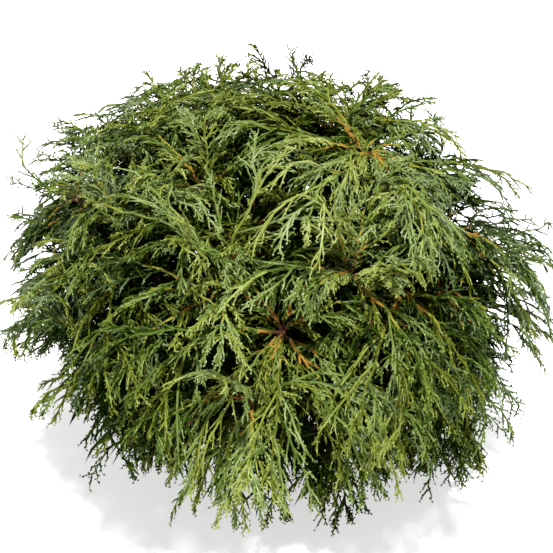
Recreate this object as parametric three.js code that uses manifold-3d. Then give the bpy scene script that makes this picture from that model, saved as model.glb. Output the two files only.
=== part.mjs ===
// A young thread-leaved golden sawara cypress: a dense mop of drooping green threads on a short stem.
// Millimetres, +Z up. The origin is at the centre of the flat cut where the stem meets the ground.
//
// The plant is grown by one rule. A short stem carries boughs in tiers. Each bough is carried on by the stem of
// one mass of foliage, which forks to its heads. A head is a shoot tip with a whorl of arching twigs, and each
// twig bears side sprays that hang. The shape, the places and the lengths all come from the sizes below.
import * as THREE from "three";
import { mergeVertices } from "three/addons/utils/BufferGeometryUtils.js";
import Module from "manifold-3d";

const wasm = await Module();
wasm.setup();

// The mound's outline: how far the heads' surface reaches, before the twigs hang out past it.
const SPREAD = 334;
const HEIGHT = 284;
const WAIST = 124; // height at which the mound is widest
const HUB_SHARE = 0.78; // a head's hub lies this far from the mound's middle to its surface
const TIP_SHARE = 0.85; // the same for the head at the tip of the stem
const LEAST_HEIGHT = 16; // below this, hanging shoots flatten out over the ground

// The stem.
const STEM_HEIGHT = 112;
const STEM_FOOT_RADIUS = 9.5;
const STEM_TIP_RADIUS = 3.4;
const STEM_SIDES = 15;
const STEM_RINGS = 8;
const FLARE_REACH = 6.5; // how far the root flare stands out at the ground
const FLARE_HEIGHT = 11;
const ROOT_RIDGES = 5;
const RIDGE_SHARE = 0.55; // how deep the hollows between the root ridges are, as a share of the flare
const STEM_LEAN = new THREE.Vector2(5, -3); // how far the tip stands from above the foot

// The boughs.
const BOUGH_SIDES = 5;
const BOUGH_STEPS = 4;
const BOUGH_SHARE = 0.56; // where a bough ends, on the way from the stem to its mass's heads
const BOUGH_RISE = 0.1; // how far a bough bulges upwards, as a share of its length
const BOUGH_STAGGER = 4; // neighbours in a tier leave the stem this far above and below the tier's height
const GAP = 0.3; // clearance between pieces that meet

// Tiers of masses, from the tip down. tilt is measured from straight up and azimuth from +X, in degrees.
// Each mass has its heads spread evenly along its tier, turn by turn a little above and below the tier's tilt.
// fork is the height at which its bough leaves the stem, and twigs is the number round each head.
const TIERS = [
  { name: "tip", masses: 1, heads: 1, tilt: 8, zigzag: 0, first: -30, fork: STEM_HEIGHT, radius: 0, twigs: 9 },
  { name: "crown", masses: 3, heads: 3, tilt: 31, zigzag: 3, first: -67, fork: 76, radius: 3.0, twigs: 4 },
  { name: "shoulder", masses: 8, heads: 2, tilt: 57, zigzag: -5, first: -55, fork: 52, radius: 2.9, twigs: 5 },
  { name: "waist", masses: 7, heads: 2, tilt: 81, zigzag: -4, first: -57, fork: 35, radius: 2.8, twigs: 5 },
  { name: "hem", masses: 6, heads: 2, tilt: 106, zigzag: -4, first: -80, fork: 20, radius: 2.7, twigs: 5 },
];
const TIP_RADIUS_SHARE = 0.62; // a bough's tip radius as a share of its base radius

// The stem of a mass goes straight on from its bough and forks to one leader for each hub.
const MASS_STEM_SHARE = 0.3; // its length, as a share of the way from the bough's tip to the hubs
const LEADER_SIDES = 4;
const LEADER_STEPS = 2;
const HUB_RADIUS = 1.5;

// The foliage is too dense to see into, so each hub has a small core that its twigs stand out of: a double
// cone on the leader's end.
const CORE_RADIUS = 23;
const CORE_RISE = 11; // from its rim to its outer point
const CORE_DROP = 24; // from its rim to its inner point
const CORE_SIDES = 6;

// Twigs round a hub. Each is the three-sided rib of a spray.
const TWIG_LENGTH = 64;
const TWIG_STEPS = 3;
const TWIG_HALF_WIDTH = 2.2;
const TWIG_DEPTH = 2.6;
const TWIG_SPACING = 4; // between one twig and the next, down the leader
const GOLDEN_SHARE = 0.382; // of a turn from each twig to the next
const WIDE_SPLAY = 66; // degrees between the leader and a twig
const NARROW_SPLAY = 32; // the same for every fourth twig, which stands up in the middle
const TWIG_SAG = 1.25;
const SHORTER = [1, 0.8, 0.62, 0.46]; // lengths that a twig or thread tries until it fits its space
const NARROWER = [1, 0.7, 0.45]; // shares of its splay that a twig tries at each length

// Threads on both sides of a twig, one for each step. Each is a pointed tooth as wide as its step where it
// grows out of the rib, and stands for a thread with its small side shoots.
const THREAD_LENGTH = 46;
const THREAD_SPLAY = 0.62; // how far sideways a thread sets off for each unit forwards
const THREAD_SAG = 0.75;

const CELL_MARGIN = 3.5; // a shoot stays this much nearer to its own mass's middle line than to any other's
const LIMB_MARGIN = 3; // clearance between the middle of a shoot and a limb
const SHOOT_SPACING = 7.5; // between one spray's shoots and another's in the same mass
const SEED = 3.7;

const DEGREES = Math.PI / 180;
const UP = new THREE.Vector3(0, 0, 1);

const BARK = new THREE.MeshStandardMaterial({ color: 0x6e4a33, roughness: 0.9, metalness: 0 });
const FOLIAGE = new THREE.MeshStandardMaterial({ color: 0x8b9a45, roughness: 0.6, metalness: 0 });

// A repeatable number from 0 to 1 for the thing with these indices. The sine of a large phase scatters them.
function chance(kind, i, j = 0, k = 0) {
  const scattered = Math.sin(kind * 12.9898 + i * 78.233 + j * 37.719 + k * 4.581 + SEED) * 43758.5453;
  return scattered - Math.floor(scattered);
}

// The same from -1 to 1.
function jitter(kind, i, j = 0, k = 0) {
  return 2 * chance(kind, i, j, k) - 1;
}

// The point in this direction from the mound's middle, at a share of the way to its surface.
function moundPoint(azimuth, tilt, share) {
  const out = (SPREAD / 2) * Math.sin(tilt) * share;
  const rise = Math.cos(tilt) > 0 ? HEIGHT - WAIST : WAIST;
  return new THREE.Vector3(
    out * Math.cos(azimuth),
    out * Math.sin(azimuth),
    WAIST + rise * Math.cos(tilt) * share,
  );
}

// The stem's middle at a height: it leans evenly.
function stemPoint(height) {
  const share = height / STEM_HEIGHT;
  return new THREE.Vector3(STEM_LEAN.x * share, STEM_LEAN.y * share, height);
}

// Hanging shoots never reach the ground: heights under LEAST_HEIGHT shrink towards zero instead of passing it.
function settle(point) {
  if (point.z < LEAST_HEIGHT) point.z = LEAST_HEIGHT * Math.exp((point.z - LEAST_HEIGHT) / LEAST_HEIGHT);
  return point;
}

// A shoot's line: it sets off in one direction and its own weight turns it down more with each step.
function hangingLine(start, heading, length, sag, steps) {
  const line = [start.clone()];
  const reached = start.clone();
  for (let step = 0; step < steps; step++) {
    const way = heading.clone().addScaledVector(UP, (-sag * (step + 0.5)) / steps).normalize();
    reached.addScaledVector(way, length / steps);
    line.push(reached.clone());
  }
  return line.map(settle);
}

// A quadratic Bezier curve as a line of points.
function bentLine(start, control, end, steps) {
  return new THREE.QuadraticBezierCurve3(start, control, end).getPoints(steps);
}

// Two directions square to an axis and to each other. The first is level.
function crossAxes(axis) {
  const level = new THREE.Vector3().crossVectors(axis, UP);
  if (level.length() < 1e-3) level.set(1, 0, 0);
  level.normalize();
  return [level, new THREE.Vector3().crossVectors(level, axis).normalize()];
}

// A closed tube through rings of points, with a fan over each end. A ring of one point is a tip.
function skin(rings) {
  const positions = [];
  const firsts = rings.map((ring) => {
    const first = positions.length / 3;
    ring.forEach((p) => positions.push(p.x, p.y, p.z));
    return first;
  });
  const faces = [];
  for (let r = 0; r + 1 < rings.length; r++) {
    const [below, above] = [rings[r].length, rings[r + 1].length];
    const sides = Math.max(below, above);
    for (let i = 0; i < sides; i++) {
      const [a, b] = [firsts[r] + (i % below), firsts[r] + ((i + 1) % below)];
      const [c, d] = [firsts[r + 1] + (i % above), firsts[r + 1] + ((i + 1) % above)];
      if (below > 1) faces.push(a, b, d);
      if (above > 1) faces.push(a, d, c);
    }
  }
  const last = rings.length - 1;
  for (let i = 1; i + 1 < rings[0].length; i++) faces.push(firsts[0], firsts[0] + i + 1, firsts[0] + i);
  for (let i = 1; i + 1 < rings[last].length; i++) faces.push(firsts[last], firsts[last] + i, firsts[last] + i + 1);
  const geometry = new THREE.BufferGeometry();
  geometry.setAttribute("position", new THREE.Float32BufferAttribute(positions, 3));
  geometry.setIndex(faces);
  return geometry;
}

// A tube along a line, with a radius for each point. A radius of zero closes the tube in a point there.
// flat is the tube's height as a share of its width.
function tube(line, radii, sides, flat = 1) {
  return skin(
    line.map((point, i) => {
      if (radii[i] === 0) return [point];
      const axis = line[Math.min(i + 1, line.length - 1)].clone().sub(line[Math.max(i - 1, 0)]).normalize();
      const [level, raised] = crossAxes(axis);
      return Array.from({ length: sides }, (_, s) => {
        const turn = (2 * Math.PI * s) / sides;
        return point
          .clone()
          .addScaledVector(level, radii[i] * Math.cos(turn))
          .addScaledVector(raised, -radii[i] * flat * Math.sin(turn));
      });
    }),
  );
}

function toSolid(geometry) {
  const merged = mergeVertices(geometry, 1e-4);
  return new wasm.Manifold(
    new wasm.Mesh({
      numProp: 3,
      vertProperties: new Float32Array(merged.attributes.position.array),
      triVerts: new Uint32Array(merged.index.array),
    }),
  );
}

function toGeometry(solid) {
  const { numProp, vertProperties, triVerts } = solid.getMesh();
  const positions = new Float32Array((vertProperties.length / numProp) * 3);
  for (let i = 0; i < positions.length / 3; i++)
    positions.set(vertProperties.subarray(i * numProp, i * numProp + 3), i * 3);
  const geometry = new THREE.BufferGeometry();
  geometry.setAttribute("position", new THREE.BufferAttribute(positions, 3));
  geometry.setIndex(new THREE.BufferAttribute(new Uint32Array(triVerts), 1));
  return geometry;
}

// The stem: a leaning, tapering column whose foot spreads into root ridges. grown adds to its radius.
function stemGeometry(grown = 0) {
  const rings = Array.from({ length: STEM_RINGS + 1 }, (_, r) => {
    const share = (r / STEM_RINGS) ** 1.6; // rings crowd towards the flare
    const middle = stemPoint(STEM_HEIGHT * share);
    const plain = THREE.MathUtils.lerp(STEM_FOOT_RADIUS, STEM_TIP_RADIUS, share);
    const flare = FLARE_REACH * Math.exp(-middle.z / FLARE_HEIGHT);
    return Array.from({ length: STEM_SIDES }, (_, s) => {
      const turn = (2 * Math.PI * s) / STEM_SIDES;
      const ridge = 1 - RIDGE_SHARE * (0.5 - 0.5 * Math.cos(ROOT_RIDGES * turn + 1));
      const radius = plain + flare * ridge + grown;
      return new THREE.Vector3(middle.x + radius * Math.cos(turn), middle.y + radius * Math.sin(turn), middle.z);
    });
  });
  return skin(rings);
}

// Every mass with its bough, hubs and leaders, as lines of points. Nothing is solid yet.
function layOut() {
  const masses = [];
  for (const tier of TIERS) {
    for (let m = 0; m < tier.masses; m++) {
      const index = masses.length;
      const headTurn = 360 / (tier.masses * tier.heads);
      const turned = tier.first - (360 / tier.masses) * m;
      const share = tier.radius ? HUB_SHARE : TIP_SHARE;
      const hubs = Array.from({ length: tier.heads }, (_, h) => {
        const side = h - (tier.heads - 1) / 2;
        const azimuth = (turned - headTurn * side + 4 * jitter(1, index, h)) * DEGREES;
        const tilt = (tier.tilt + tier.zigzag * 2 * side + 3 * jitter(2, index, h)) * DEGREES;
        const place = moundPoint(azimuth, tilt, share * (1 + 0.05 * jitter(3, index, h)));
        const outward = moundPoint(azimuth, tilt, 1).sub(new THREE.Vector3(0, 0, WAIST)).normalize();
        return { place, facing: outward.addScaledVector(UP, 0.45).normalize() };
      });
      const middle = hubs.reduce((sum, hub) => sum.add(hub.place), new THREE.Vector3()).divideScalar(hubs.length);
      const stagger = tier.radius ? BOUGH_STAGGER * (m % 2 ? 1 : -1) + jitter(4, index) : 0;
      const base = stemPoint(tier.fork + stagger);
      const end = base.clone().lerp(middle, BOUGH_SHARE);
      const span = base.distanceTo(end);
      end.z += BOUGH_RISE * span;
      const bulge = base.clone().lerp(end, 0.5);
      bulge.z += BOUGH_RISE * span;
      masses.push({
        index,
        name: tier.masses > 1 ? `${tier.name}_${m + 1}` : tier.name,
        hubs,
        middle,
        boughLine: tier.radius ? bentLine(base, bulge, end, BOUGH_STEPS) : [stemPoint(0), base],
        boughRadius: tier.radius,
        twigs: tier.twigs,
      });
    }
  }
  for (const mass of masses) {
    const [before, tip] = mass.boughLine.slice(-2);
    const aim = mass.boughRadius ? tip.clone().sub(before).normalize() : UP;
    const start = tip.clone().addScaledVector(aim, GAP);
    mass.fork = start.clone().addScaledVector(aim, MASS_STEM_SHARE * start.distanceTo(mass.middle));
    mass.stemLine = [start, mass.fork];
    mass.leaders = mass.hubs.map(({ place, facing }) => {
      const control = place.clone().addScaledVector(facing, -0.25 * mass.fork.distanceTo(place));
      return bentLine(mass.fork, control, place, LEADER_STEPS);
    });
    // The middle line of the mass's space: its leaders, and below each hub a point where its skirt hangs.
    mass.spine = mass.leaders.flatMap((line, h) => {
      const { place, facing } = mass.hubs[h];
      const outside = new THREE.Vector3(facing.x, facing.y, 0).multiplyScalar(0.4 * TWIG_LENGTH);
      return [...line.slice(1), place.clone().add(outside).addScaledVector(UP, -0.2 * TWIG_LENGTH)];
    });
  }
  return masses;
}

// A hub's core. Each corner of its rim is drawn in until it fits the mass's space.
function coreGeometry({ place, facing }, key, fitsHere) {
  const [level, raised] = crossAxes(facing);
  const rim = Array.from({ length: CORE_SIDES }, (_, s) => {
    const turn = (360 * DEGREES * (s + chance(10, key))) / CORE_SIDES;
    const reach = level.clone().multiplyScalar(Math.cos(turn)).addScaledVector(raised, -Math.sin(turn));
    const corners = SHORTER.map((share) => place.clone().addScaledVector(reach, CORE_RADIUS * share));
    return corners.find((corner) => fitsHere([place, corner])) ?? corners.at(-1);
  });
  const inner = place.clone().addScaledVector(facing, -CORE_DROP);
  return skin([[inner], rim, [place.clone().addScaledVector(facing, CORE_RISE)]]);
}

// The twigs of a mass, each with the headings and lines that it may take, from the longest and widest down.
function twigsOf(mass) {
  return mass.hubs.flatMap(({ place, facing }, h) => {
    const [before] = mass.leaders[h].slice(-2);
    const [level, raised] = crossAxes(facing);
    const key = mass.index * 10 + h;
    return Array.from({ length: mass.twigs }, (_, t) => {
      const stands = t % 4 === 3;
      const splay = (stands ? NARROW_SPLAY : WIDE_SPLAY + 12 * jitter(5, key, t)) * DEGREES;
      const turn = 360 * (t * GOLDEN_SHARE + 0.06 * jitter(6, key, t)) * DEGREES;
      const length = TWIG_LENGTH * (stands ? 0.72 : 0.86 + 0.28 * chance(7, key, t));
      const sag = TWIG_SAG * (stands ? 0.6 : 0.8 + 0.4 * chance(8, key, t));
      const start = place.clone().lerp(before, (TWIG_SPACING * t) / place.distanceTo(before));
      const across = level.clone().multiplyScalar(Math.cos(turn)).addScaledVector(raised, Math.sin(turn));
      const tries = SHORTER.flatMap((share) =>
        NARROWER.map((drawn) => {
          const heading = facing.clone().multiplyScalar(Math.cos(splay * drawn));
          heading.addScaledVector(across, Math.sin(splay * drawn));
          return { heading, line: hangingLine(start, heading, length * share, sag, TWIG_STEPS) };
        }),
      );
      return { key: key * 10 + t, tries };
    });
  });
}

// The tip of the thread on one side of one step of a twig, or null if no length of it fits.
function threadTip(line, level, step, side, key, fitsHere) {
  const [back, front] = [line[step], line[step + 1]];
  const heading = front.clone().sub(back).normalize().addScaledVector(level, side * THREAD_SPLAY).normalize();
  const length = THREAD_LENGTH * (1.1 - (0.4 * step) / TWIG_STEPS) * (0.85 + 0.3 * chance(9, key, step, side));
  for (const share of SHORTER) {
    const [, tip] = hangingLine(back.clone().lerp(front, 0.5), heading, length * share, THREAD_SAG, 1);
    if (fitsHere([back, tip]) && fitsHere([front, tip])) return tip;
  }
  return null;
}

// One spray: a three-sided rib along the twig's line that ends in a point, with a tooth for each thread.
// Each tooth is a spike drawn out of one face of the rib's left or right side.
function sprayGeometry(line, heading, key, fitsHere) {
  const [level] = crossAxes(heading);
  const positions = [];
  const put = (point) => positions.push(point.x, point.y, point.z) / 3 - 1;
  const rings = line.slice(0, -1).map((point, i) => {
    const ahead = line[i + 1].clone().sub(line[Math.max(i - 1, 0)]).normalize();
    const raised = new THREE.Vector3().crossVectors(level, ahead);
    const size = 1 - (0.5 * i) / TWIG_STEPS;
    const edge = (side) => put(point.clone().addScaledVector(level, side * size * TWIG_HALF_WIDTH));
    return [edge(-1), edge(1), put(point.clone().addScaledVector(raised, -size * TWIG_DEPTH))];
  });
  const end = put(line.at(-1));
  const faces = [rings[0].toReversed()];
  const edges = [line.slice(1)];
  rings.forEach(([left, right, keel], i) => {
    const [nextLeft, nextRight, nextKeel] = rings[i + 1] ?? [end, end, end];
    faces.push([left, right, nextRight], [left, nextRight, nextLeft]);
    faces.push([keel, nextLeft, nextKeel], [keel, nextKeel, nextRight]);
    for (const [side, face] of [[-1, [left, nextLeft, keel]], [1, [right, keel, nextRight]]]) {
      const tip = threadTip(line, level, i, side, key, fitsHere);
      if (tip) {
        const point = put(tip);
        edges.push([line[i], tip], [line[i + 1], tip]);
        face.forEach((corner, c) => faces.push([corner, face[(c + 1) % 3], point]));
      } else faces.push(face);
    }
  });
  const geometry = new THREE.BufferGeometry();
  geometry.setAttribute("position", new THREE.Float32BufferAttribute(positions, 3));
  geometry.setIndex(faces.filter((face) => new Set(face).size === 3).flat());
  return { geometry, edges };
}

// Points along a line at every few millimetres.
function sampled(line) {
  return line.slice(1).flatMap((end, i) => [0.25, 0.5, 0.75, 1].map((share) => line[i].clone().lerp(end, share)));
}

function nearest(point, others) {
  return Math.min(...others.map((other) => point.distanceTo(other)));
}

// A test for whether a shoot keeps to one mass's space and clear of limbs and of the mass's earlier sprays.
function spaceOf(mass, masses, limbs, grown) {
  const rivals = masses.filter((other) => other !== mass).flatMap((other) => other.spinePoints);
  const clearOf = (point, { points, radius }) => nearest(point, points) > radius + LIMB_MARGIN;
  return (line) =>
    sampled(line).every(
      (point) =>
        nearest(point, rivals) > nearest(point, mass.spinePoints) + CELL_MARGIN &&
        nearest(point, grown) > SHOOT_SPACING &&
        limbs.every((limb) => clearOf(point, limb)),
    );
}

function part(name, solid, material) {
  const mesh = new THREE.Mesh(toGeometry(solid), material);
  mesh.name = name;
  return mesh;
}

const plant = new THREE.Group();
const masses = layOut();
masses.forEach((mass) => {
  mass.spinePoints = [...mass.leaders.flatMap(sampled), ...mass.spine];
});

plant.add(part("stem", toSolid(stemGeometry()), BARK));

const stemAndGap = toSolid(stemGeometry(GAP));
const limbs = [{ points: sampled([stemPoint(0), stemPoint(STEM_HEIGHT)]), radius: STEM_FOOT_RADIUS }];
for (const mass of masses.filter(({ boughRadius }) => boughRadius)) {
  const radii = mass.boughLine.map((_, i) =>
    THREE.MathUtils.lerp(mass.boughRadius, mass.boughRadius * TIP_RADIUS_SHARE, i / BOUGH_STEPS),
  );
  const bough = toSolid(tube(mass.boughLine, radii, BOUGH_SIDES));
  plant.add(part(`bough_${mass.name}`, bough.subtract(stemAndGap), BARK));
  limbs.push({ points: sampled(mass.boughLine), radius: mass.boughRadius });
}

for (const mass of masses) {
  const startRadius = mass.boughRadius ? mass.boughRadius * TIP_RADIUS_SHARE : STEM_TIP_RADIUS * 0.7;
  const shoots = [toSolid(tube(mass.stemLine, [startRadius, startRadius * 0.9], BOUGH_SIDES))];
  for (const line of mass.leaders) {
    const radii = line.map((_, i) => THREE.MathUtils.lerp(startRadius * 0.88, HUB_RADIUS, i / LEADER_STEPS));
    shoots.push(toSolid(tube(line, radii, LEADER_SIDES)));
  }
  const grown = [];
  const fitsHere = spaceOf(mass, masses, limbs, grown);
  mass.hubs.forEach((hub, h) => shoots.push(toSolid(coreGeometry(hub, mass.index * 10 + h, fitsHere))));
  for (const { key, tries } of twigsOf(mass)) {
    const fitting = tries.find(({ line }) => fitsHere(line.slice(1)));
    if (!fitting) continue;
    const { geometry, edges } = sprayGeometry(fitting.line, fitting.heading, key, fitsHere);
    shoots.push(toSolid(geometry));
    grown.push(...edges.flatMap(sampled));
  }
  const joined = shoots.reduce((whole, shoot) => whole.add(shoot));
  const pieces = joined.decompose().sort((a, b) => b.volume() - a.volume());
  plant.add(part(`foliage_${mass.name}`, pieces[0], FOLIAGE));
}

export default plant;
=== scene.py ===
# %% [markdown]
# A young thread-leaved golden cypress, dressed for its portrait. The plant is a low mop of drooping
# threads on a short stem. The fixed frame already holds its stem, its boughs and a plain solid for each
# mass of foliage. This lesson grows the real thing round those shapes: bark on the limbs, and two hundred
# thousand tiny scale-covered shoots in place of the masses, all by one rule and with whole arrays of
# numbers at a time.

import bpy
import numpy as np
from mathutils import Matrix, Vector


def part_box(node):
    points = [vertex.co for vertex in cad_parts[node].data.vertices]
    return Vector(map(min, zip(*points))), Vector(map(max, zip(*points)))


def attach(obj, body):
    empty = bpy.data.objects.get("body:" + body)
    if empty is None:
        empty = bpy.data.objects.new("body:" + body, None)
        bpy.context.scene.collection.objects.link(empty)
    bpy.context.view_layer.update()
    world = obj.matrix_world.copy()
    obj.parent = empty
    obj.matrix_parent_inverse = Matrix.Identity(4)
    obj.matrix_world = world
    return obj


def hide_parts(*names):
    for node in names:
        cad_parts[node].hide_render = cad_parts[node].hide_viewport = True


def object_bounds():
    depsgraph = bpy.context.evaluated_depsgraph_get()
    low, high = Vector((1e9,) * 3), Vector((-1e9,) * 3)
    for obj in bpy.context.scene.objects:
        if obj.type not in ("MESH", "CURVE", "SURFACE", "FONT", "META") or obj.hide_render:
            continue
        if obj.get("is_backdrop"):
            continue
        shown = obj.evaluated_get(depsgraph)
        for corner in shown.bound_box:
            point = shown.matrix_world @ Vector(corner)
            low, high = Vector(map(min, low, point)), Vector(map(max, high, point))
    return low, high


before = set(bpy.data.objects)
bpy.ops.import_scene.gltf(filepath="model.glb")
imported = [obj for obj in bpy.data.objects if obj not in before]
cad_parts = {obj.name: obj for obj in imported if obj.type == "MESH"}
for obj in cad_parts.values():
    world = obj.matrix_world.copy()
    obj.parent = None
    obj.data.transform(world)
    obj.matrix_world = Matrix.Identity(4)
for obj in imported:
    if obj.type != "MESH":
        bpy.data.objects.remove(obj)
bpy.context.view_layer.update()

# %% [markdown]
# The rule works in millimetres, because a twig is a few millimetres thick, and the meshes are turned into
# metres at the very end. The sizes below are the plant's own: they are the ones that its solids were
# grown from, so what grows here starts and forks where those solids do.

# %% The plant's own sizes
MM = 0.001
UP = np.array([0.0, 0.0, 1.0])

SPREAD = 334
HEIGHT = 284
WAIST = 124
HUB_SHARE = 0.78
TIP_SHARE = 0.85
LEAST_HEIGHT = 16

STEM_HEIGHT = 112
STEM_FOOT_RADIUS = 9.5
STEM_TIP_RADIUS = 3.4
FLARE_REACH = 6.5
FLARE_HEIGHT = 11
ROOT_RIDGES = 5
RIDGE_SHARE = 0.55
STEM_LEAN = np.array([5.0, -3.0])

BOUGH_SHARE = 0.56
BOUGH_RISE = 0.1
BOUGH_STAGGER = 4
GAP = 0.3
TIP_RADIUS_SHARE = 0.62
MASS_STEM_SHARE = 0.3

TIER_PARTS = ("name", "masses", "heads", "tilt", "zigzag", "first", "fork", "radius")
TIER_ROWS = [
    ("tip", 1, 1, 8, 0, -30, STEM_HEIGHT, 0),
    ("crown", 3, 3, 31, 3, -67, 76, 3.0),
    ("shoulder", 8, 2, 57, -5, -55, 52, 2.9),
    ("waist", 7, 2, 81, -4, -57, 35, 2.8),
    ("hem", 6, 2, 106, -4, -80, 20, 2.7),
]
TIERS = [dict(zip(TIER_PARTS, row)) for row in TIER_ROWS]
print(len(TIERS), "tiers on a plant", HEIGHT, "mm high")

# %% [markdown]
# A plant looks grown and not drawn because nothing on it is quite regular. A seeded generator would be
# the usual source of chance, but one more number drawn early on would change all that follow. So the
# lesson uses an old trick: a large multiple of a sine scatters well after its point, and the same indices
# always give the same number. Every length, turn and lean below is nudged by it.

# %% Repeatable chance
SEED = 3.7
STRIDES = (12.9898, 78.233, 37.719)
SCATTER = 43758.5453


def chance(kind, i, j=0):
    """A number from 0 to 1 for these indices: the part after the point of a large multiple of a sine. The
    kind tells one use of chance from another, so that a twig's length says nothing about its turn."""
    scattered = np.sin(kind * STRIDES[0] + i * STRIDES[1] + j * STRIDES[2] + SEED) * SCATTER
    return scattered - np.floor(scattered)


def jitter(kind, i, j=0):
    """The same number stretched to run from -1 to 1."""
    return 2 * chance(kind, i, j) - 1


def varied(range_of, kind, i, j=0):
    """A number by chance, from the first of the two in a range up to their sum."""
    return range_of[0] + range_of[1] * chance(kind, i, j)


def unit(vectors):
    """Each vector divided by its own length, so that it is 1 long."""
    return vectors / np.maximum(np.linalg.norm(vectors, axis=-1, keepdims=True), 1e-12)


print("first chances:", [round(float(chance(1, i)), 3) for i in range(4)])

# %% [markdown]
# The plant's outline is a mound on a short stem: over its waist half of a ball, a little flattened, and
# under it a lower half. One formula places anything on it by two angles, as on a globe. Boughs and
# leaders are bent lines: a curve with one control point bends only once, as a young limb does.

# %% Places on the mound and along a limb
def mound_point(azimuth, tilt, share):
    """The point in this direction from the mound's middle: half the spread times the sine of the tilt
    out, and the rise above or below the waist times its cosine up."""
    out = SPREAD / 2 * np.sin(tilt) * share
    rise = HEIGHT - WAIST if np.cos(tilt) > 0 else WAIST
    return np.array([out * np.cos(azimuth), out * np.sin(azimuth), WAIST + rise * np.cos(tilt) * share])


def stem_point(height):
    """The stem's middle at a height: it leans evenly."""
    return np.array([*(STEM_LEAN * height / STEM_HEIGHT), height])


def bent_line(start, control, end, steps):
    """A quadratic curve: (1 - t) squared of the start, 2 t (1 - t) of the control and t squared of the
    end."""
    t = np.linspace(0, 1, steps + 1)[:, None]
    return (1 - t) ** 2 * start + 2 * t * (1 - t) * control + t**2 * end


print("the mound's right edge is at", mound_point(0, np.pi / 2, 1).round(1))

# %% [markdown]
# Where the heads sit. A head is the tip of a shoot, with a fountain of twigs round it. The heads lie on
# the surface of the mound, in tiers from the tip down to the hem, and each group of heads is fed by one
# bough. The bough leaves the stem, bulges upwards a little and ends where it enters its foliage, and from
# there a short stem forks to the heads.

# %% Lay out the boughs and heads
TURN_CHANCE = 4
TILT_CHANCE = 3
SHARE_CHANCE = 0.05
FACING_LIFT = 0.45


def lay_out():
    """Every mass with its bough line, its hubs and the directions that they face."""
    masses = []
    for tier in TIERS:
        for m in range(tier["masses"]):
            index = len(masses)
            head_turn = 360 / (tier["masses"] * tier["heads"])
            turned = tier["first"] - 360 / tier["masses"] * m
            share = HUB_SHARE if tier["radius"] else TIP_SHARE
            hubs = []
            for h in range(tier["heads"]):
                side = h - (tier["heads"] - 1) / 2
                azimuth = np.radians(turned - head_turn * side + TURN_CHANCE * jitter(1, index, h))
                lowered = tier["tilt"] + tier["zigzag"] * 2 * side
                tilt = np.radians(lowered + TILT_CHANCE * jitter(2, index, h))
                place = mound_point(azimuth, tilt, share * (1 + SHARE_CHANCE * jitter(3, index, h)))
                outward = unit(mound_point(azimuth, tilt, 1) - UP * WAIST)
                hubs.append((place, unit(outward + FACING_LIFT * UP)))
            middle = np.mean([place for place, _ in hubs], axis=0)
            stagger = BOUGH_STAGGER * (1 if m % 2 else -1) + jitter(4, index) if tier["radius"] else 0
            base = stem_point(tier["fork"] + stagger)
            end = base + (middle - base) * BOUGH_SHARE
            span = np.linalg.norm(end - base)
            end = end + UP * BOUGH_RISE * span
            bulge = (base + end) / 2 + UP * BOUGH_RISE * span
            name = f"{tier['name']}_{m + 1}" if tier["masses"] > 1 else tier["name"]
            masses.append(
                {
                    "index": index,
                    "name": name,
                    "hubs": hubs,
                    "middle": middle,
                    "bough": (base, bulge, end),
                    "radius": tier["radius"],
                }
            )
    return masses


masses = lay_out()
heads = sum(len(mass["hubs"]) for mass in masses)
print(len(masses), "masses of foliage with", heads, "heads")

# %% [markdown]
# The plant isn't equally full all round. It is broad in its shoulders, most of all at the back on the
# left, and thin low on its left. One formula tells how full it is at any place, so that heads and twigs
# can both follow it.

# %% How full the plant is
LOW_FROM = 1.2
LOW_LEFT_THINNER = 0.75
SHOULDER_HEIGHT = 190
SHOULDER_BAND = 38
SHOULDER_FULLER = 0.25
BACK_LEFT_FULLER = 0.4


def fullness(place):
    """How full the plant grows at a place: 1, less the low and left part of it, plus the shoulders',
    which fade above and below as a bell curve does, and plus that of the shoulder at the back on the
    left."""
    x, y, z = np.moveaxis(place, -1, 0)
    low = np.clip(LOW_FROM - z / WAIST, 0, 1)
    left = np.clip(-x / (SPREAD / 2), 0, 1)
    outward = np.hypot(x, y) / (SPREAD / 2)
    shoulder = np.exp(-(((z - SHOULDER_HEIGHT) / SHOULDER_BAND) ** 2))
    back = np.clip(y / (SPREAD / 2), 0, 1)
    fuller = SHOULDER_FULLER * shoulder * outward
    return 1 - LOW_LEFT_THINNER * low * left + fuller + BACK_LEFT_FULLER * shoulder * back * left


print("low on the left the fullness is", fullness(np.array([-SPREAD / 2, 0, 30])).round(2))

# %% [markdown]
# Some heads are bolder than others. A bold head stands further out on a longer leader, so that its hub
# stays in sight, and the shy ones between sit a little inside, in its shade. Six main ones stand out
# most: they are the fountains that catch the eye in the photograph. The masses that the photograph shows
# have their bold heads listed, and on the others chance picks them.

# %% Bold heads and shy heads
BOLD = {
    "tip": [], "crown_1": [0], "crown_2": [0, 2], "crown_3": [1],
    "shoulder_1": [0, 1], "shoulder_2": [0, 1], "shoulder_3": [1],
    "shoulder_4": [0], "shoulder_5": [0, 1], "shoulder_8": [0],
    "waist_1": [], "waist_2": [0], "waist_3": [0, 1], "waist_7": [1],
    "hem_1": [], "hem_2": [], "hem_6": [0],
}
MAIN = {"crown_1": 0, "shoulder_8": 0, "shoulder_2": 0, "shoulder_4": 0, "waist_3": 1, "waist_7": 1}
BOLD_SHARE = 0.42
HEADS_APART = 10


def head_key(mass, h):
    """A number of its own for each head: ten times its mass's, plus its own."""
    return mass["index"] * HEADS_APART + h


def rank_of(mass, h):
    """Whether this head is a main one (2), a bold one (1) or a shy one (0)."""
    if MAIN.get(mass["name"]) == h:
        return 2
    if mass["name"] in BOLD:
        return int(h in BOLD[mass["name"]])
    return int(chance(51, head_key(mass, h)) < BOLD_SHARE)


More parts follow.
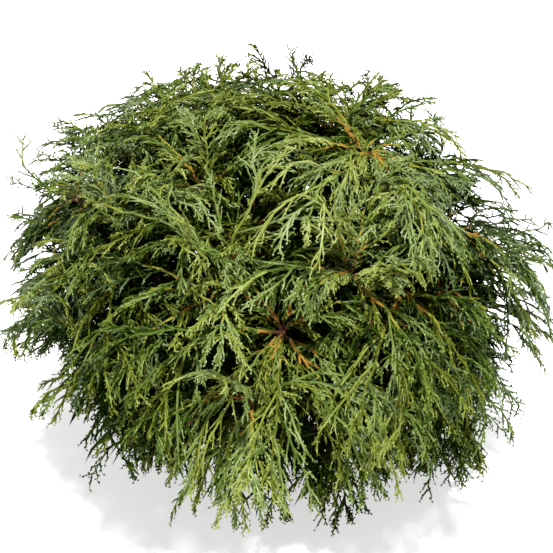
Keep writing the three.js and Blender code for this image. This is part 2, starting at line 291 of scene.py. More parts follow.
for mass in masses:
    mass["ranks"] = [rank_of(mass, h) for h in range(len(mass["hubs"]))]
ranks = sum([mass["ranks"] for mass in masses], [])
print("main, bold and shy heads:", [ranks.count(rank) for rank in (2, 1, 0)])

# %% [markdown]
# The heads now move the way they face, by their rank. Those of the hem are also drawn towards the stem,
# so that their threads hang to the ground inside the outline. All main heads but one lean a little as
# well, to where their fountains show in the photograph.

# %% Move the heads
MAIN_LEANS = {
    "crown_1": (16, 12, 10), "shoulder_8": (0, 0, 0), "shoulder_2": (6, 0, 0),
    "shoulder_4": (-16, 0, 14), "waist_3": (-6, 0, 10), "waist_7": (-16, -4, 6),
}
MAIN_STEP = 13
BOLD_STEP = 8
SHY_STEP = -7
HEM_TUCK = 12


def stand_out(mass):
    """The heads of a mass, moved the way they face by the step of their rank, where a bold one's step is
    multiplied by the square of the fullness. The hem's tuck comes off, and the lean of a main head is
    added."""
    moved = []
    for rank, (place, facing) in zip(mass["ranks"], mass["hubs"]):
        step = (SHY_STEP, BOLD_STEP * fullness(place) ** 2, MAIN_STEP)[rank]
        tuck = HEM_TUCK * unit(place * [1, 1, 0]) if mass["name"].startswith("hem") else 0
        lean = np.array(MAIN_LEANS[mass["name"]]) if rank == 2 else 0
        moved.append((place + step * facing - tuck + lean, facing))
    return moved


for mass in masses:
    mass["hubs"] = stand_out(mass)
print("the first crown head now sits at", masses[1]["hubs"][0][0].round(1))

# %% [markdown]
# From the end of each bough one short stem goes straight on, and forks to a leader for each head. Leaders
# are curves that arrive at the head pointing the way it faces. As a check on the copied rule, the end of
# each bough is set against the box of its solid in the frame.

# %% Fork the masses' stems
BOUGH_STEPS = 4
LEADER_STEPS = 2
LEADER_CURVE = 0.25


def fork_to_heads(mass):
    """Adds the mass's stem and the curve of each leader, from the fork to its hub."""
    if mass["radius"]:
        before, tip = bent_line(*mass["bough"], BOUGH_STEPS)[-2:]
        aim = unit(tip - before)
    else:
        tip, aim = mass["bough"][0], UP
    start = tip + aim * GAP
    fork = start + aim * MASS_STEM_SHARE * np.linalg.norm(mass["middle"] - start)
    mass["stem"] = (start, fork)
    mass["leaders"] = [
        (fork, place - facing * LEADER_CURVE * np.linalg.norm(place - fork), place)
        for place, facing in mass["hubs"]
    ]


for mass in masses:
    fork_to_heads(mass)

worst = 0.0
for mass in masses:
    if mass["radius"]:
        low, high = (np.array(corner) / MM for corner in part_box(f"bough_{mass['name']}"))
        end = mass["bough"][2]
        outside = np.maximum(low - end, end - high).max()
        worst = max(worst, outside)
print(f"the bough ends lie within {worst:.2f} mm of their solids' boxes")

# %% [markdown]
# Nearly everything that grows is a tube along a line. Thousands of tubes are made together: one array
# holds all the lines, another all the radii, and the rings round them come from one formula. Three sides
# are enough for a shoot that is a millimetre thick, and each ring is turned half a side from the last, so
# the faces interlock like scale leaves.

# %% Tubes from whole arrays
SHOOT_SIDES = 3
SHOOT_TURNED = 0.5


def tubes(lines, radii, across, sides=SHOOT_SIDES, turned=SHOOT_TURNED):
    """Rings of points round each line, closed by a cap at its start and a point at its end.

    A ring's point is the line's point plus radius times (cosine of the turn along one side direction,
    plus sine of the turn along the direction square to it and to the line). lines is (n, m, 3), radii (n,
    m) and across (n, 3), a direction roughly square to each line. Gives points (n, v, 3) and one tube's
    triangles (f, 3).
    """
    n, m, _ = lines.shape
    along = unit(np.gradient(lines, axis=1))
    level = unit(across[:, None] - (across[:, None] * along).sum(-1, keepdims=True) * along)
    square = np.cross(level, along)
    turns = 2 * np.pi * (np.arange(sides)[None] + turned * (np.arange(m - 1)[:, None] % 2)) / sides
    turns = turns[None, ..., None]
    ring = np.cos(turns) * level[:, :-1, None] + np.sin(turns) * square[:, :-1, None]
    rings = lines[:, :-1, None] + radii[:, :-1, None, None] * ring
    points = np.concatenate([rings.reshape(n, -1, 3), lines[:, -1:]], axis=1)
    return points, tube_triangles(m - 1, sides, turned)


def tube_triangles(rings, sides, turned):
    """The triangles of one tube: a cap on the first ring, two for each side between rings, and a cone at
    the end."""
    triangles = [[0, s, s + 1] for s in range(1, sides - 1)]
    for r in range(rings - 1):
        for s in range(sides):
            a, b = r * sides + s, r * sides + (s + 1) % sides
            c, d = a + sides, b + sides
            if turned and r % 2:
                triangles += [[a, c, d], [a, d, b]]
            else:
                triangles += [[a, c, b], [b, c, d]]
    tip, last = rings * sides, (rings - 1) * sides
    triangles += [[last + s, tip, last + (s + 1) % sides] for s in range(sides)]
    return np.array(triangles)


def gathered(points, triangles):
    """Many tubes as one list of points and one list of triangles, each tube's numbered after the
    last's."""
    n, v, _ = points.shape
    return points.reshape(-1, 3), (triangles[None] + v * np.arange(n)[:, None, None]).reshape(-1, 3)


print("a tube of eight rings has", len(tube_triangles(8, SHOOT_SIDES, SHOOT_TURNED)), "triangles")

# %% [markdown]
# Nothing may grow into the ground or far out of the room that the solids take up. Cutting shoots off at a
# wall would show as a flat face, so points that come near a limit crowd together just inside it instead.

# %% Keep every point inside the plant's room
CLEAR = 1.5
CROWN_BEND = 290
CROWN_TOP = 305
REACH_BEND = 196
REACH = 206


def crowded(values, bend, limit):
    """Values past the bend crowd together towards the limit instead of passing it: the limit less the
    room up to it, which shrinks by a power of e with the distance past the bend."""
    room = limit - bend
    past = limit - room * np.exp((bend - np.maximum(values, bend)) / room)
    return np.where(values > bend, past, values)


def settled(points):
    """Points kept above the ground, under the crown's top and within the plant's reach."""
    height = crowded(points[..., 2], CROWN_BEND, CROWN_TOP)
    height = -crowded(-height, -LEAST_HEIGHT, -CLEAR)
    reach = np.hypot(points[..., 0], points[..., 1])
    drawn = crowded(reach, REACH_BEND, REACH) / np.maximum(reach, 1e-9)
    return np.concatenate([points[..., :2] * drawn[..., None], height[..., None]], axis=-1)


print(f"a point 30 mm under the floor moves up to {settled(-30 * UP)[2]:.2f} mm")

# %% [markdown]
# A Blender mesh is filled straight from arrays: foreach_set copies a whole list of corners or faces in
# one call, where a loop in Python would take minutes. The same helper puts each piece on the plant's one
# body and hides the solids that it takes the place of.

# %% A helper that fills a mesh
def put_in_scene(name, data):
    """A new object in the scene, at the origin."""
    placed = bpy.data.objects.new(name, data)
    bpy.context.scene.collection.objects.link(placed)
    return placed


def add_piece(name, points, triangles, materials, finish=None, smooth=False, replaces=()):
    """One object at the origin from points in millimetres, with a material number for each triangle."""
    mesh = bpy.data.meshes.new(name)
    mesh.vertices.add(len(points))
    mesh.vertices.foreach_set("co", (points * MM).astype(np.float32).ravel())
    mesh.loops.add(triangles.size)
    mesh.loops.foreach_set("vertex_index", triangles.astype(np.int32).ravel())
    mesh.polygons.add(len(triangles))
    mesh.polygons.foreach_set("loop_start", np.arange(0, triangles.size, 3, dtype=np.int32))
    mesh.polygons.foreach_set("use_smooth", np.full(len(triangles), smooth))
    for material in materials:
        mesh.materials.append(material)
    if finish is not None:
        mesh.polygons.foreach_set("material_index", finish.astype(np.int32))
    mesh.update(calc_edges=True)
    piece = put_in_scene(name, mesh)
    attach(piece, "root")
    if replaces:
        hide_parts(*replaces)
    return piece


print("pieces will hang on the body named root, a millimetre of theirs being", MM, "m")

# %% [markdown]
# Colours are chosen as they look on a screen, from 0 to 255, because they can be compared with a picture
# that way. Blender's shaders reckon with amounts of light instead, so each colour is turned into those
# once.

# %% Colours and new materials
def srgb(red, green, blue):
    """Screen colours from 0 to 255 as the linear numbers that Blender's colour sockets take: nearly the
    power 2.4 of their share of 255, and an even slope where they are almost black."""
    share = np.array([red, green, blue]) / 255
    linear = np.where(share <= 0.04045, share / 12.92, ((share + 0.055) / 1.055) ** 2.4)
    return (*(float(c) for c in linear), 1.0)


def new_material(name):
    """A material and its main shader."""
    material = bpy.data.materials.new(name)
    material.use_nodes = True
    return material, material.node_tree.nodes["Principled BSDF"]


print("a middle grey of 128 is a light of", round(srgb(128, 128, 128)[0], 3))

# %% [markdown]
# Bark. On a young plant of this kind it is thin and fibrous, reddish brown with grey strips that peel
# lengthwise. A pattern that follows the wood needs to know which way the wood runs, so each limb's mesh
# carries an attribute, the grain: how far round and how far along the limb a point is. Noise that is
# squeezed along the grain gives the strips, and the same noise drives the colour, the roughness and a
# fine bump.

# %% The bark material
FURROW_BROWN = (52, 30, 20)
BARK_BROWN = (112, 66, 42)
STRIP_GREY = (150, 128, 106)
BARK_BUMP = 0.4


def make_bark():
    """Reddish brown fibrous bark with grey peeling strips along the grain attribute."""
    material, shader = new_material("fibrous_bark")
    nodes, links = material.node_tree.nodes, material.node_tree.links
    grain = nodes.new("ShaderNodeAttribute")
    grain.attribute_name = "grain"
    strips = nodes.new("ShaderNodeTexNoise")
    strips.inputs["Scale"].default_value = 1.0
    strips.inputs["Detail"].default_value = 6.0
    strips.inputs["Roughness"].default_value = 0.65
    ramp = nodes.new("ShaderNodeValToRGB")
    ramp.color_ramp.elements[0].position = 0.34
    ramp.color_ramp.elements[0].color = srgb(*FURROW_BROWN)
    ramp.color_ramp.elements[1].position = 0.72
    ramp.color_ramp.elements[1].color = srgb(*STRIP_GREY)
    middle = ramp.color_ramp.elements.new(0.52)
    middle.color = srgb(*BARK_BROWN)
    gloss = nodes.new("ShaderNodeMapRange")
    gloss.inputs["To Min"].default_value = 0.95
    gloss.inputs["To Max"].default_value = 0.7
    bump = nodes.new("ShaderNodeBump")
    bump.inputs["Strength"].default_value = 0.5
    bump.inputs["Distance"].default_value = BARK_BUMP * MM
    links.new(grain.outputs["Vector"], strips.inputs["Vector"])
    links.new(strips.outputs["Fac"], ramp.inputs["Fac"])
    links.new(ramp.outputs["Color"], shader.inputs["Base Color"])
    links.new(strips.outputs["Fac"], gloss.inputs["Value"])
    links.new(gloss.outputs["Result"], shader.inputs["Roughness"])
    links.new(strips.outputs["Fac"], bump.inputs["Height"])
    links.new(bump.outputs["Normal"], shader.inputs["Normal"])
    return material


bark = make_bark()
print("made", bark.name)

# %% [markdown]
# The relief of bark is made of ridges and furrows that run along the wood and wander a little. Waves
# round the limb whose phase drifts with height look just so, and as a formula they fit a limb of any
# size.

# %% Furrows, grain and closed rings
FURROW_WAVES = ((5, 0.45), (11, 0.33), (23, 0.22))
FURROW_DRIFT = 2.2
DRIFT_RATE = 0.11
FURROW_TWIST = 0.05
GRAIN_ALONG = 0.12


def furrows(turn, along, key):
    """Bark relief from -1 to 1: waves round the limb that shift as they run along it, added at three
    sizes."""
    relief = np.zeros(np.broadcast(turn, along).shape)
    for size, share in FURROW_WAVES:
        drift = np.sin(along * DRIFT_RATE * (1 + 0.1 * size) + key + size)
        relief += share * np.sin(size * turn + FURROW_DRIFT * drift + along * FURROW_TWIST * size)
    return relief


def grain_of(turn, along, size):
    """Where each point lies on its limb: on a circle of this size round it, and so far along it."""
    return np.stack(np.broadcast_arrays(size * np.cos(turn), size * np.sin(turn), along), axis=-1)


def close_rings(points):
    """Triangles over a grid of rings that closes round its sides, with a fan over the first and the last
    ring."""
    rings, sides, _ = points.shape
    a = (np.arange(rings - 1)[:, None] * sides + np.arange(sides)[None]).ravel()
    b = (np.arange(rings - 1)[:, None] * sides + (np.arange(sides)[None] + 1) % sides).ravel()
    walls = np.concatenate([np.stack([a, b, b + sides], 1), np.stack([a, b + sides, a + sides], 1)])
    fan = np.arange(1, sides - 1)
    last = (rings - 1) * sides
    foot = np.stack([0 * fan, fan + 1, fan], 1)
    top = np.stack([0 * fan + last, fan + last, fan + last + 1], 1)
    return np.concatenate([walls, foot, top])


def carry_grain(piece, grain):
    """Stores the grain on the mesh's points for the bark to read."""
    attribute = piece.data.attributes.new("grain", "FLOAT_VECTOR", "POINT")
    attribute.data.foreach_set("vector", grain.reshape(-1, 3).astype(np.float32).ravel())


print("the relief a quarter of the way round the stem's foot is", furrows(np.pi / 2, 0, 0).round(2))

# %% [markdown]
# The stem and the boughs replace their plain solids. They keep the solids' taper, lean and root flare,
# and add the furrows that the solids leave out. The stem's rings crowd towards the foot, where the flare
# turns quickly.

# %% The stem with its relief
STEM_SIDES = 90
STEM_RINGS = 120
STEM_CROWDING = 1.6
STEM_GRAIN = 6
FURROW_DEPTH = 0.35


def stem_surface():
    """Rings up the stem. A ring's radius is the even taper, plus the flare that fades with height, less
    in the hollows between the root ridges, plus the furrows."""
    share = np.linspace(0, 1, STEM_RINGS + 1) ** STEM_CROWDING
    height = STEM_HEIGHT * share
    turn = np.linspace(0, 2 * np.pi, STEM_SIDES, endpoint=False)
    plain = STEM_FOOT_RADIUS + (STEM_TIP_RADIUS - STEM_FOOT_RADIUS) * share
    flare = FLARE_REACH * np.exp(-height / FLARE_HEIGHT)
    ridge = 1 - RIDGE_SHARE * (0.5 - 0.5 * np.cos(ROOT_RIDGES * turn + 1))
    relief = FURROW_DEPTH * furrows(turn[None], height[:, None], 0)
    radius = plain[:, None] + flare[:, None] * ridge[None] + relief
    middle = np.stack([stem_point(h) for h in height])
    ring = np.stack([np.cos(turn), np.sin(turn), 0 * turn], axis=-1)
    points = middle[:, None] + radius[..., None] * ring[None]
    return points, grain_of(turn, height[:, None] * GRAIN_ALONG, STEM_GRAIN)


points, grain = stem_surface()
stem = add_piece(
    "stem_bark", points.reshape(-1, 3), close_rings(points), [bark],
    smooth=True, replaces=["stem"],
)
carry_grain(stem, grain)
print("stem:", len(stem.data.polygons), "triangles")

# %% [markdown]
# The boughs and the leaders are round limbs along curves. They are lofted the same way, with their first
# ring inside the wood that carries them, so that nothing shows a gap. A young limb is smoother than the
# stem, so its furrows are shallower.

# %% The boughs and leaders with their relief
LIMB_SIDES = 12
LIMB_RINGS = 20
LIMB_FURROWS = 0.12
LIMB_GRAIN = 3


def limb(curve, first_radius, last_radius, key):
    """A tapering limb along a curve, as a grid of points and its grain: each ring's radius is the even
    taper, times 1 plus the furrows."""
    line = bent_line(*curve, LIMB_RINGS - 1)
    along = unit(np.gradient(line, axis=0))
    level = unit(np.cross(along, UP) + 1e-6 * np.array([1.0, 0.0, 0.0]))
    square = np.cross(level, along)
    turn = np.linspace(0, 2 * np.pi, LIMB_SIDES, endpoint=False)
    reach = np.concatenate([[0], np.cumsum(np.linalg.norm(np.diff(line, axis=0), axis=1))])
    radius = np.linspace(first_radius, last_radius, LIMB_RINGS)[:, None]
    radius = radius * (1 + LIMB_FURROWS * furrows(turn[None], reach[:, None], key))
    ring = np.cos(turn)[None, :, None] * level[:, None] - np.sin(turn)[None, :, None] * square[:, None]
    points = line[:, None] + radius[..., None] * ring
    return points, grain_of(turn, reach[:, None] * GRAIN_ALONG + key, LIMB_GRAIN)


def join_limbs(name, limbs, replaces=()):
    """Several limbs as one piece of bark."""
    grids = [points for points, _ in limbs]
    triangles = close_rings(grids[0])
    size = grids[0].shape[0] * grids[0].shape[1]
    faces = np.concatenate([triangles + size * i for i in range(len(grids))])
    points = np.concatenate([grid.reshape(-1, 3) for grid in grids])
    piece = add_piece(name, points, faces, [bark], smooth=True, replaces=replaces)
    carry_grain(piece, np.concatenate([g.reshape(-1, 3) for _, g in limbs]))
    return piece


fed = [mass for mass in masses if mass["radius"]]
boughs = join_limbs(
    "bough_bark",
    [limb(m["bough"], m["radius"], m["radius"] * TIP_RADIUS_SHARE, m["index"]) for m in fed],
    replaces=[f"bough_{m['name']}" for m in fed],
)
print("boughs:", len(boughs.data.polygons), "triangles")

# %% [markdown]
# Each mass has wood of its own inside: the short stem that goes on from its bough, and a leader to each
# head. They show only where the foliage opens, as the brown knot in the middle of a fountain, so they are
# plain limbs made with the same function and joined into one piece.

# %% The masses' stems and leaders
SUNK = 2
TOP_SHARE = 0.7
MASS_STEM_TAPER = (0.97, 0.9)
LEADER_SHARE = 0.88
LEADER_TIP = 1.2
STEM_KEYS_FROM, LEADER_KEYS_FROM = 40, 80


def wood_of(mass):
    """The limbs inside a mass: its stem, from inside the bough's tip to the fork, and its leaders."""
    start, fork = mass["stem"]
    radius = mass["radius"] * TIP_RADIUS_SHARE if mass["radius"] else STEM_TIP_RADIUS * TOP_SHARE
    sunk = start - SUNK * unit(fork - start)
    foot, top = (radius * share for share in MASS_STEM_TAPER)
    limbs = [limb((sunk, (sunk + fork) / 2, fork), foot, top, mass["index"] + STEM_KEYS_FROM)]
    for h, leader in enumerate(mass["leaders"]):
        limbs.append(limb(leader, radius * LEADER_SHARE, LEADER_TIP, mass["index"] + LEADER_KEYS_FROM + h))
    return limbs


leaders = join_limbs("leader_bark", [wood for mass in masses for wood in wood_of(mass)])
print("stems and leaders in the masses:", len(leaders.data.polygons), "triangles")

# %% [markdown]
# Now the foliage. A shoot sets off in one direction and is pulled another way more and more as it goes:
# down by its weight, and for a side shoot also forwards, along the twig that bears it. One formula covers
# both. The last step of a line is short, so that a shoot keeps its thickness nearly to its end and
# finishes blunt, where an even taper would turn it into a needle.

# %% Lines that bend as they grow
ARCH = 1.6
BLUNT = 0.35


def shares_along(steps, blunt):
    """The share of the length at each point of a line: even steps, and a last one that is blunt times as
    long."""
    sizes = np.append(np.ones(steps - 1), blunt)
    return np.concatenate([[0], np.cumsum(sizes)]) / sizes.sum()


def bending_lines(start, heading, pull, length, steps, blunt=BLUNT, wave=0.0, keys=0):
    """Lines of points: each step's direction is the heading, plus the pull times a power of the share of
    the way gone, plus a wave to a chance side at each step, made 1 long. The points are the start plus
    the sum of the steps. The power keeps a shoot straight at first and arches it over towards its end."""
    share = shares_along(steps, blunt)
    gone = ((share[1:] + share[:-1]) / 2) ** ARCH
    ways = heading[:, None] + pull[:, None] * gone[None, :, None]
    if wave:
        step = np.arange(steps)[None]
        sway = [jitter(61 + axis, np.asarray(keys)[:, None], step) for axis in range(3)]
        ways = ways + wave * np.stack(sway, axis=-1)
    ways = unit(ways)
    reached = np.cumsum(ways * (np.diff(share) * length[:, None])[..., None], axis=1)
    return np.concatenate([start[:, None], start[:, None] + reached], axis=1)


print("a shoot of four steps has its points at", shares_along(4, BLUNT).round(2))

# %% [markdown]
# Side shoots stand alternately left and right in the plane of their spray, as on all cypresses of this
# kind. One function grows them at every level: sprigs on the twigs, threads on the sprigs and scale tips
# on the threads. Only the numbers differ, which are kept together as a habit. Each shoot remembers its
# twig and its family of colours, and those of the blue family, which grow in the shade, are looser and
# more curled than the others.

# %% Side shoots
LOOSER = {"splay": 1.45, "lean": 0.35, "sag": 0.5, "curl": 2.5}
START_CHANCE = 0.8
SPLAY_CHANCE = 0.3
SIDE_SAG = (0.6, 0.8)
SIDE_LENGTH = (0.7, 0.45)
LONG_POWER = 8
TWIST = 0.3
KEY_CYCLE = 9973


def along_parents(lines, share):
    """The point at each share of its parent's line, between two of the line's own, and the direction
    there."""
    rows, last = np.arange(len(lines))[:, None], lines.shape[1] - 1
    place = share * last
    step = np.minimum(place.astype(int), last - 1)
    back, front = lines[rows, step], lines[rows, step + 1]
    return back + (front - back) * (place - step)[..., None], unit(front - back)


def grow_sides(parents, count, habit, kind):
    """Side shoots on each parent shoot, alternately left and right in the plane of its spray.

    Shoot c of count starts at the share first + (last - first) (c / count) ^ crowd of its parent. Its
    heading is the parent's direction there plus the splay times the side direction. The habit's reach
    gives its length from its share and the parent's length, and its pull is the lean forwards, the sag
    down and a curl to a chance side. Its key mixes the parent's key and c.
    """
    key, c = parents["keys"][:, None], np.arange(count)[None]
    share = ((c + START_CHANCE * chance(kind, key, c)) / count) ** habit["crowd"]
    share = habit["first"] + (habit["last"] - habit["first"]) * share
    start, along = along_parents(parents["lines"], share)
    normal = np.broadcast_to(parents["normals"][:, None], along.shape)
    side = (1 - 2 * ((c + key) % 2))[..., None]
    across = side * unit(np.cross(along, normal))
    roll = habit["roll"] * jitter(kind + 1, key, c)[..., None]
    shaded = (parents["family"] == 2)[:, None, None]
    loose = {part: np.where(shaded, habit[part] * change, habit[part]) for part, change in LOOSER.items()}
    splay = loose["splay"] * (1 + SPLAY_CHANCE * jitter(kind + 2, key, c))[..., None]
    heading = unit(along + splay * (across + roll * normal))
    sag = loose["sag"] * varied(SIDE_SAG, kind + 3, key, c)[..., None]
    curl = loose["curl"] * jitter(kind + 5, key, c)[..., None]
    pull = loose["lean"] * along - sag * UP + curl * across
    spread = varied(SIDE_LENGTH, kind + 4, key, c) + habit["long"] * chance(kind + 6, key, c) ** LONG_POWER
    length = (habit["reach"](share, parents["lengths"][:, None]) * spread).ravel()
    own_keys = (key * 31 + c * 7 + 1).ravel() % KEY_CYCLE
    ways = [vectors.reshape(-1, 3) for vectors in (start, heading, pull)]
    return {
        "lines": bending_lines(*ways, length, habit["steps"], habit["blunt"], habit["wave"], own_keys),
        "normals": unit(normal + TWIST * roll * across).reshape(-1, 3),
        "keys": own_keys,
        "lengths": length,
        "order": np.tile(np.arange(count), len(key)),
        "twig": np.repeat(parents["twig"], count),
        "family": np.repeat(parents["family"], count),
    }


def together(*groups):
    """Shoots of several groups as one group."""
    return {part: np.concatenate([group[part] for group in groups]) for part in groups[0]}


print("a blue shoot curls", LOOSER["curl"], "times as much as a golden one")

# %% [markdown]
# The mop keeps a rounded outline although its twigs grow every way. Each twig may be as long as its head
# makes it, and is then cut back to end on the outline. A power mean of two shares draws it: with a power
# of 2 it would be an ellipse, and a little more makes squarer shoulders, as on the real plant.

# %% The rounded outline
TWIGS_REACH = 195
TWIGS_RISE = 160
ROUNDNESS = 2.5
LOW_LEFT_DRAW = 0.5
LOW_LEFT_FROM, LOW_LEFT_BAND = 2.5, 45
LOW_RIGHT_DRAW = 0.2
LOW_RIGHT_FROM = 1.1
LEAST_TWIG = 0.33


def outwardness(points):
    """1 on the rounded outline that the twigs keep to, and less inside: the power mean of the share of
    the reach and the share of the rise above the waist. Below the waist only the reach counts, and there
    the outline draws in: little by little on the right, and at once on the left."""
    x, y, z = np.moveaxis(points, -1, 0)
    on_left = LOW_LEFT_DRAW * np.clip(LOW_LEFT_FROM - z / LOW_LEFT_BAND, 0, 1)
    on_right = LOW_RIGHT_DRAW * np.clip(LOW_RIGHT_FROM - z / WAIST, 0, 1)
    drawn_in = np.where(x < 0, on_left, on_right) * np.clip(np.abs(x) / (SPREAD / 2), 0, 1)
    reach = np.hypot(x, y) / (TWIGS_REACH * (1 - drawn_in))
    rise = np.maximum(z - WAIST, 0) / TWIGS_RISE
    return (reach**ROUNDNESS + rise**ROUNDNESS) ** (1 / ROUNDNESS)


def room_for(lines):
    """The share of its length that each line can keep to end on the outline, at least a third: what is
    left to the outline from its start, over what the line covers."""
    first = outwardness(lines[:, 0])
    most = outwardness(lines).max(axis=1)
    return np.clip((1 - first) / np.maximum(most - first, 1e-6), LEAST_TWIG, 1)


print("the heads lie at", np.round([outwardness(hub[0]) for hub in masses[1]["hubs"]], 2), "of the way out")

# %% [markdown]
# The hub of a bold head stays in sight because light has kept the space over it open. So each bold head
# on the plant's front has a clearing, a round column of air, and the twigs of its neighbours end where
# they come to it.

# %% Clearings over the bold heads
MAIN_CLEARING = 26
BOLD_CLEARING = 10
CLEARING_FLOOR = -8
FRONT_REACHES = 20
FRONT = np.array([0.0, -0.85, 0.53])
LEAST_KEPT = 0.3
clearings = {
    head_key(mass, h): (*hub, (BOLD_CLEARING, MAIN_CLEARING)[rank - 1])
    for mass in masses
    for h, (rank, hub) in enumerate(zip(mass["ranks"], mass["hubs"]))
    if rank and hub[0][1] < FRONT_REACHES
}


def clear_of_others(lines, owners, width=1.0):
    """The share of its length that each line can keep without crossing the clearing over another bold
    head: a round column that stands on the head and points between the way it faces and the plant's
    front. A width under 1 makes the columns thinner."""
    keep = np.ones(len(lines))
    for key, (place, facing, radius) in clearings.items():
        sight = unit(0.5 * facing + FRONT)
        offset = lines - place
        out = offset @ sight
        aside = np.linalg.norm(offset - out[..., None] * sight, axis=-1)
        crossing = (out > CLEARING_FLOOR) & (aside < radius * width) & np.reshape(owners != key, (-1, 1))
        first = np.where(crossing.any(axis=1), crossing.argmax(axis=1), lines.shape[1] - 1)
        keep = np.minimum(keep, first / (lines.shape[1] - 1))
    return np.maximum(keep, LEAST_KEPT)


print(len(clearings), "bold heads have a clearing")

# %% [markdown]
# A twig needs directions to grow by. Round a head they are measured from the way it faces and from two
# directions square to that. The side shoots of a twig lie in a plane, as on a fern, so each twig also
# keeps the direction that is square to its plane.

# %% Directions round a head
def cross_axes(axis):
    """Two directions square to an axis and to each other. The first is level."""
    level = np.cross(axis, UP)
    level = unit(level) if np.linalg.norm(level) > 1e-3 else np.array([1.0, 0.0, 0.0])
    return level, unit(np.cross(level, axis))


def spray_planes(lines, heading):
    """The direction square to each spray: square to its line from end to end and to the level across
    it."""
    level = unit(np.cross(heading, UP) + 1e-6)
    return unit(np.cross(level, unit(lines[:, -1] - lines[:, 0])))


def as_shoots(lines, heading, key, length):
    """These twigs as shoots that can bear others. Each is its own twig, and golden until its family is
    chosen."""
    return {
        "lines": lines,
        "normals": spray_planes(lines, heading),
        "keys": key,
        "lengths": length,
        "twig": np.arange(len(lines)),
        "family": np.zeros(len(lines), dtype=int),
    }


print("the directions square to straight up are", *cross_axes(UP))

# %% [markdown]
# The twigs round a head. They leave the leader one above the other, each turned on by the golden share of
# a turn, so that none hides the next. Most lean out widely and arch over, and a few stand up in the
# middle, more and longer ones high up at the back. They set off as the twigs of the solids do, and grow
# on into hanging threads. Bold heads have more and longer ones. The heads at the plant's edges have more
# too, or daylight would show through.

# %% Twigs round one head
TWIGS, BOLD_TWIGS, MAIN_TWIGS = 8, 9, 12
EDGE_MORE = 1.6
BACK_MORE = 0.2
KEYS_PER_HEAD = 20
TWIG_LENGTH = 64
TWIG_REACH = 1.2
TWIG_SPACING = 4
TWIG_BAND = 20
GOLDEN_SHARE = 0.382
TURN_NUDGE = 0.06
WIDE_SPLAY = 66
RANK_SPLAY = 3
SPLAY_NUDGE = 12
NARROW_SPLAY = 32
STANDING_LENGTH = 0.72
STANDING_SAG = 0.6
ARCHING_LENGTH = (0.84, 0.32)
ARCHING_SAG = (0.8, 0.4)
TWIG_SAG = 1.4
BACK_LIFT = 0.5
RANK_LENGTH = (0.82, 1.15, 1.4)
VIGOUR = {"tip": 0.45, "crown": 1.0, "shoulder": 1.0, "waist": 0.95, "hem": 0.9}
DROOP = {"tip": 0.6, "crown": 0.55, "shoulder": 0.75, "waist": 0.85, "hem": 1.8}
EDGE_LIFT = {"tip": 0.4, "crown": 0.4, "shoulder": 0.4, "waist": 0.65, "hem": 0}


def twigs_round(mass, h):
    """The twigs round one head, before they are cut back.

    Twig t starts a few millimetres further down the leader than the last, within a band. Its heading is
    the way the head faces, turned aside by the splay, and the golden share of a turn further round than
    the last one's. Every fourth stands up, or every third at the back, but round a main head none does.
    """
    (place, facing), rank, tier = mass["hubs"][h], mass["ranks"][h], mass["name"].split("_")[0]
    before = bent_line(*mass["leaders"][h], LEADER_STEPS)[-2]
    level, raised = cross_axes(facing)
    key = head_key(mass, h)
    aside = abs(place[0]) / (SPREAD / 2)
    behind = np.clip(place[1] / (SPREAD / 4), 0, 1) if tier in ("crown", "shoulder") else 0
    count = (TWIGS, BOLD_TWIGS, MAIN_TWIGS)[rank] * (1 + EDGE_MORE * max(aside**3, BACK_MORE * behind))
    t = np.arange(min(round(count), KEYS_PER_HEAD))
    every = 3 if behind > 0.5 else 4
    stands = (t % every == every - 1) & (rank < 2)
    wide = WIDE_SPLAY + RANK_SPLAY * rank + SPLAY_NUDGE * jitter(5, key, t)
    splay = np.radians(np.where(stands, NARROW_SPLAY, wide))
    turn = np.radians(360 * (t * GOLDEN_SHARE + TURN_NUDGE * jitter(6, key, t)))
    across = np.cos(turn)[:, None] * level + np.sin(turn)[:, None] * raised
    down = ((TWIG_SPACING * t) % TWIG_BAND / np.linalg.norm(place - before))[:, None]
    vigour = TWIG_REACH * VIGOUR[tier] * fullness(place) * RANK_LENGTH[rank]
    lifted = 1 - max(BACK_LIFT * behind, EDGE_LIFT[tier] * min(aside, 1))
    sag = TWIG_SAG * DROOP[tier] * lifted * np.where(stands, STANDING_SAG, varied(ARCHING_SAG, 8, key, t))
    by_stand = np.where(stands, STANDING_LENGTH, varied(ARCHING_LENGTH, 7, key, t))
    return {
        "start": place + (before - place) * down,
        "heading": np.cos(splay)[:, None] * facing + np.sin(splay)[:, None] * across,
        "pull": -sag[:, None] * UP,
        "length": vigour * TWIG_LENGTH * by_stand,
        "key": key * KEYS_PER_HEAD + t,
        "bold": np.full(len(t), rank > 0),
    }


print("twigs round the first head of", masses[1]["name"] + ":", len(twigs_round(masses[1], 0)["key"]))

# %% [markdown]
# Each twig that is too long is now made shorter, until it ends on the outline and keeps out of the
# clearings of other heads. Cutting its points away would do that too, but a twig with a missing end has
# no fine tip and hardly an arch. A shorter twig bends anew, so a second cut follows the first.

# %% Cut the twigs back to their room
TWIG_RINGS = 16
TWIG_WAVE = 0.22


def twigs_of(mass):
    """All twigs of a mass. Each one's length is multiplied, twice over, by the smaller of two shares:
    what it can keep inside the outline and what it can keep beside the clearings."""
    grown = together(*[twigs_round(mass, h) for h in range(len(mass["hubs"]))])
    ways = [grown[part] for part in ("start", "heading", "pull")]
    length, key = grown["length"], grown["key"]
    for _ in range(2):
        lines = bending_lines(*ways, length, TWIG_RINGS, wave=TWIG_WAVE, keys=key)
        length = length * np.minimum(room_for(lines), clear_of_others(lines, key // KEYS_PER_HEAD))
    lines = bending_lines(*ways, length, TWIG_RINGS, wave=TWIG_WAVE, keys=key)
    return {**as_shoots(lines, grown["heading"], key, length), "bold": grown["bold"]}


twigs = [twigs_of(mass) for mass in masses]
print(sum(len(t["keys"]) for t in twigs), "twigs round", heads, "heads")
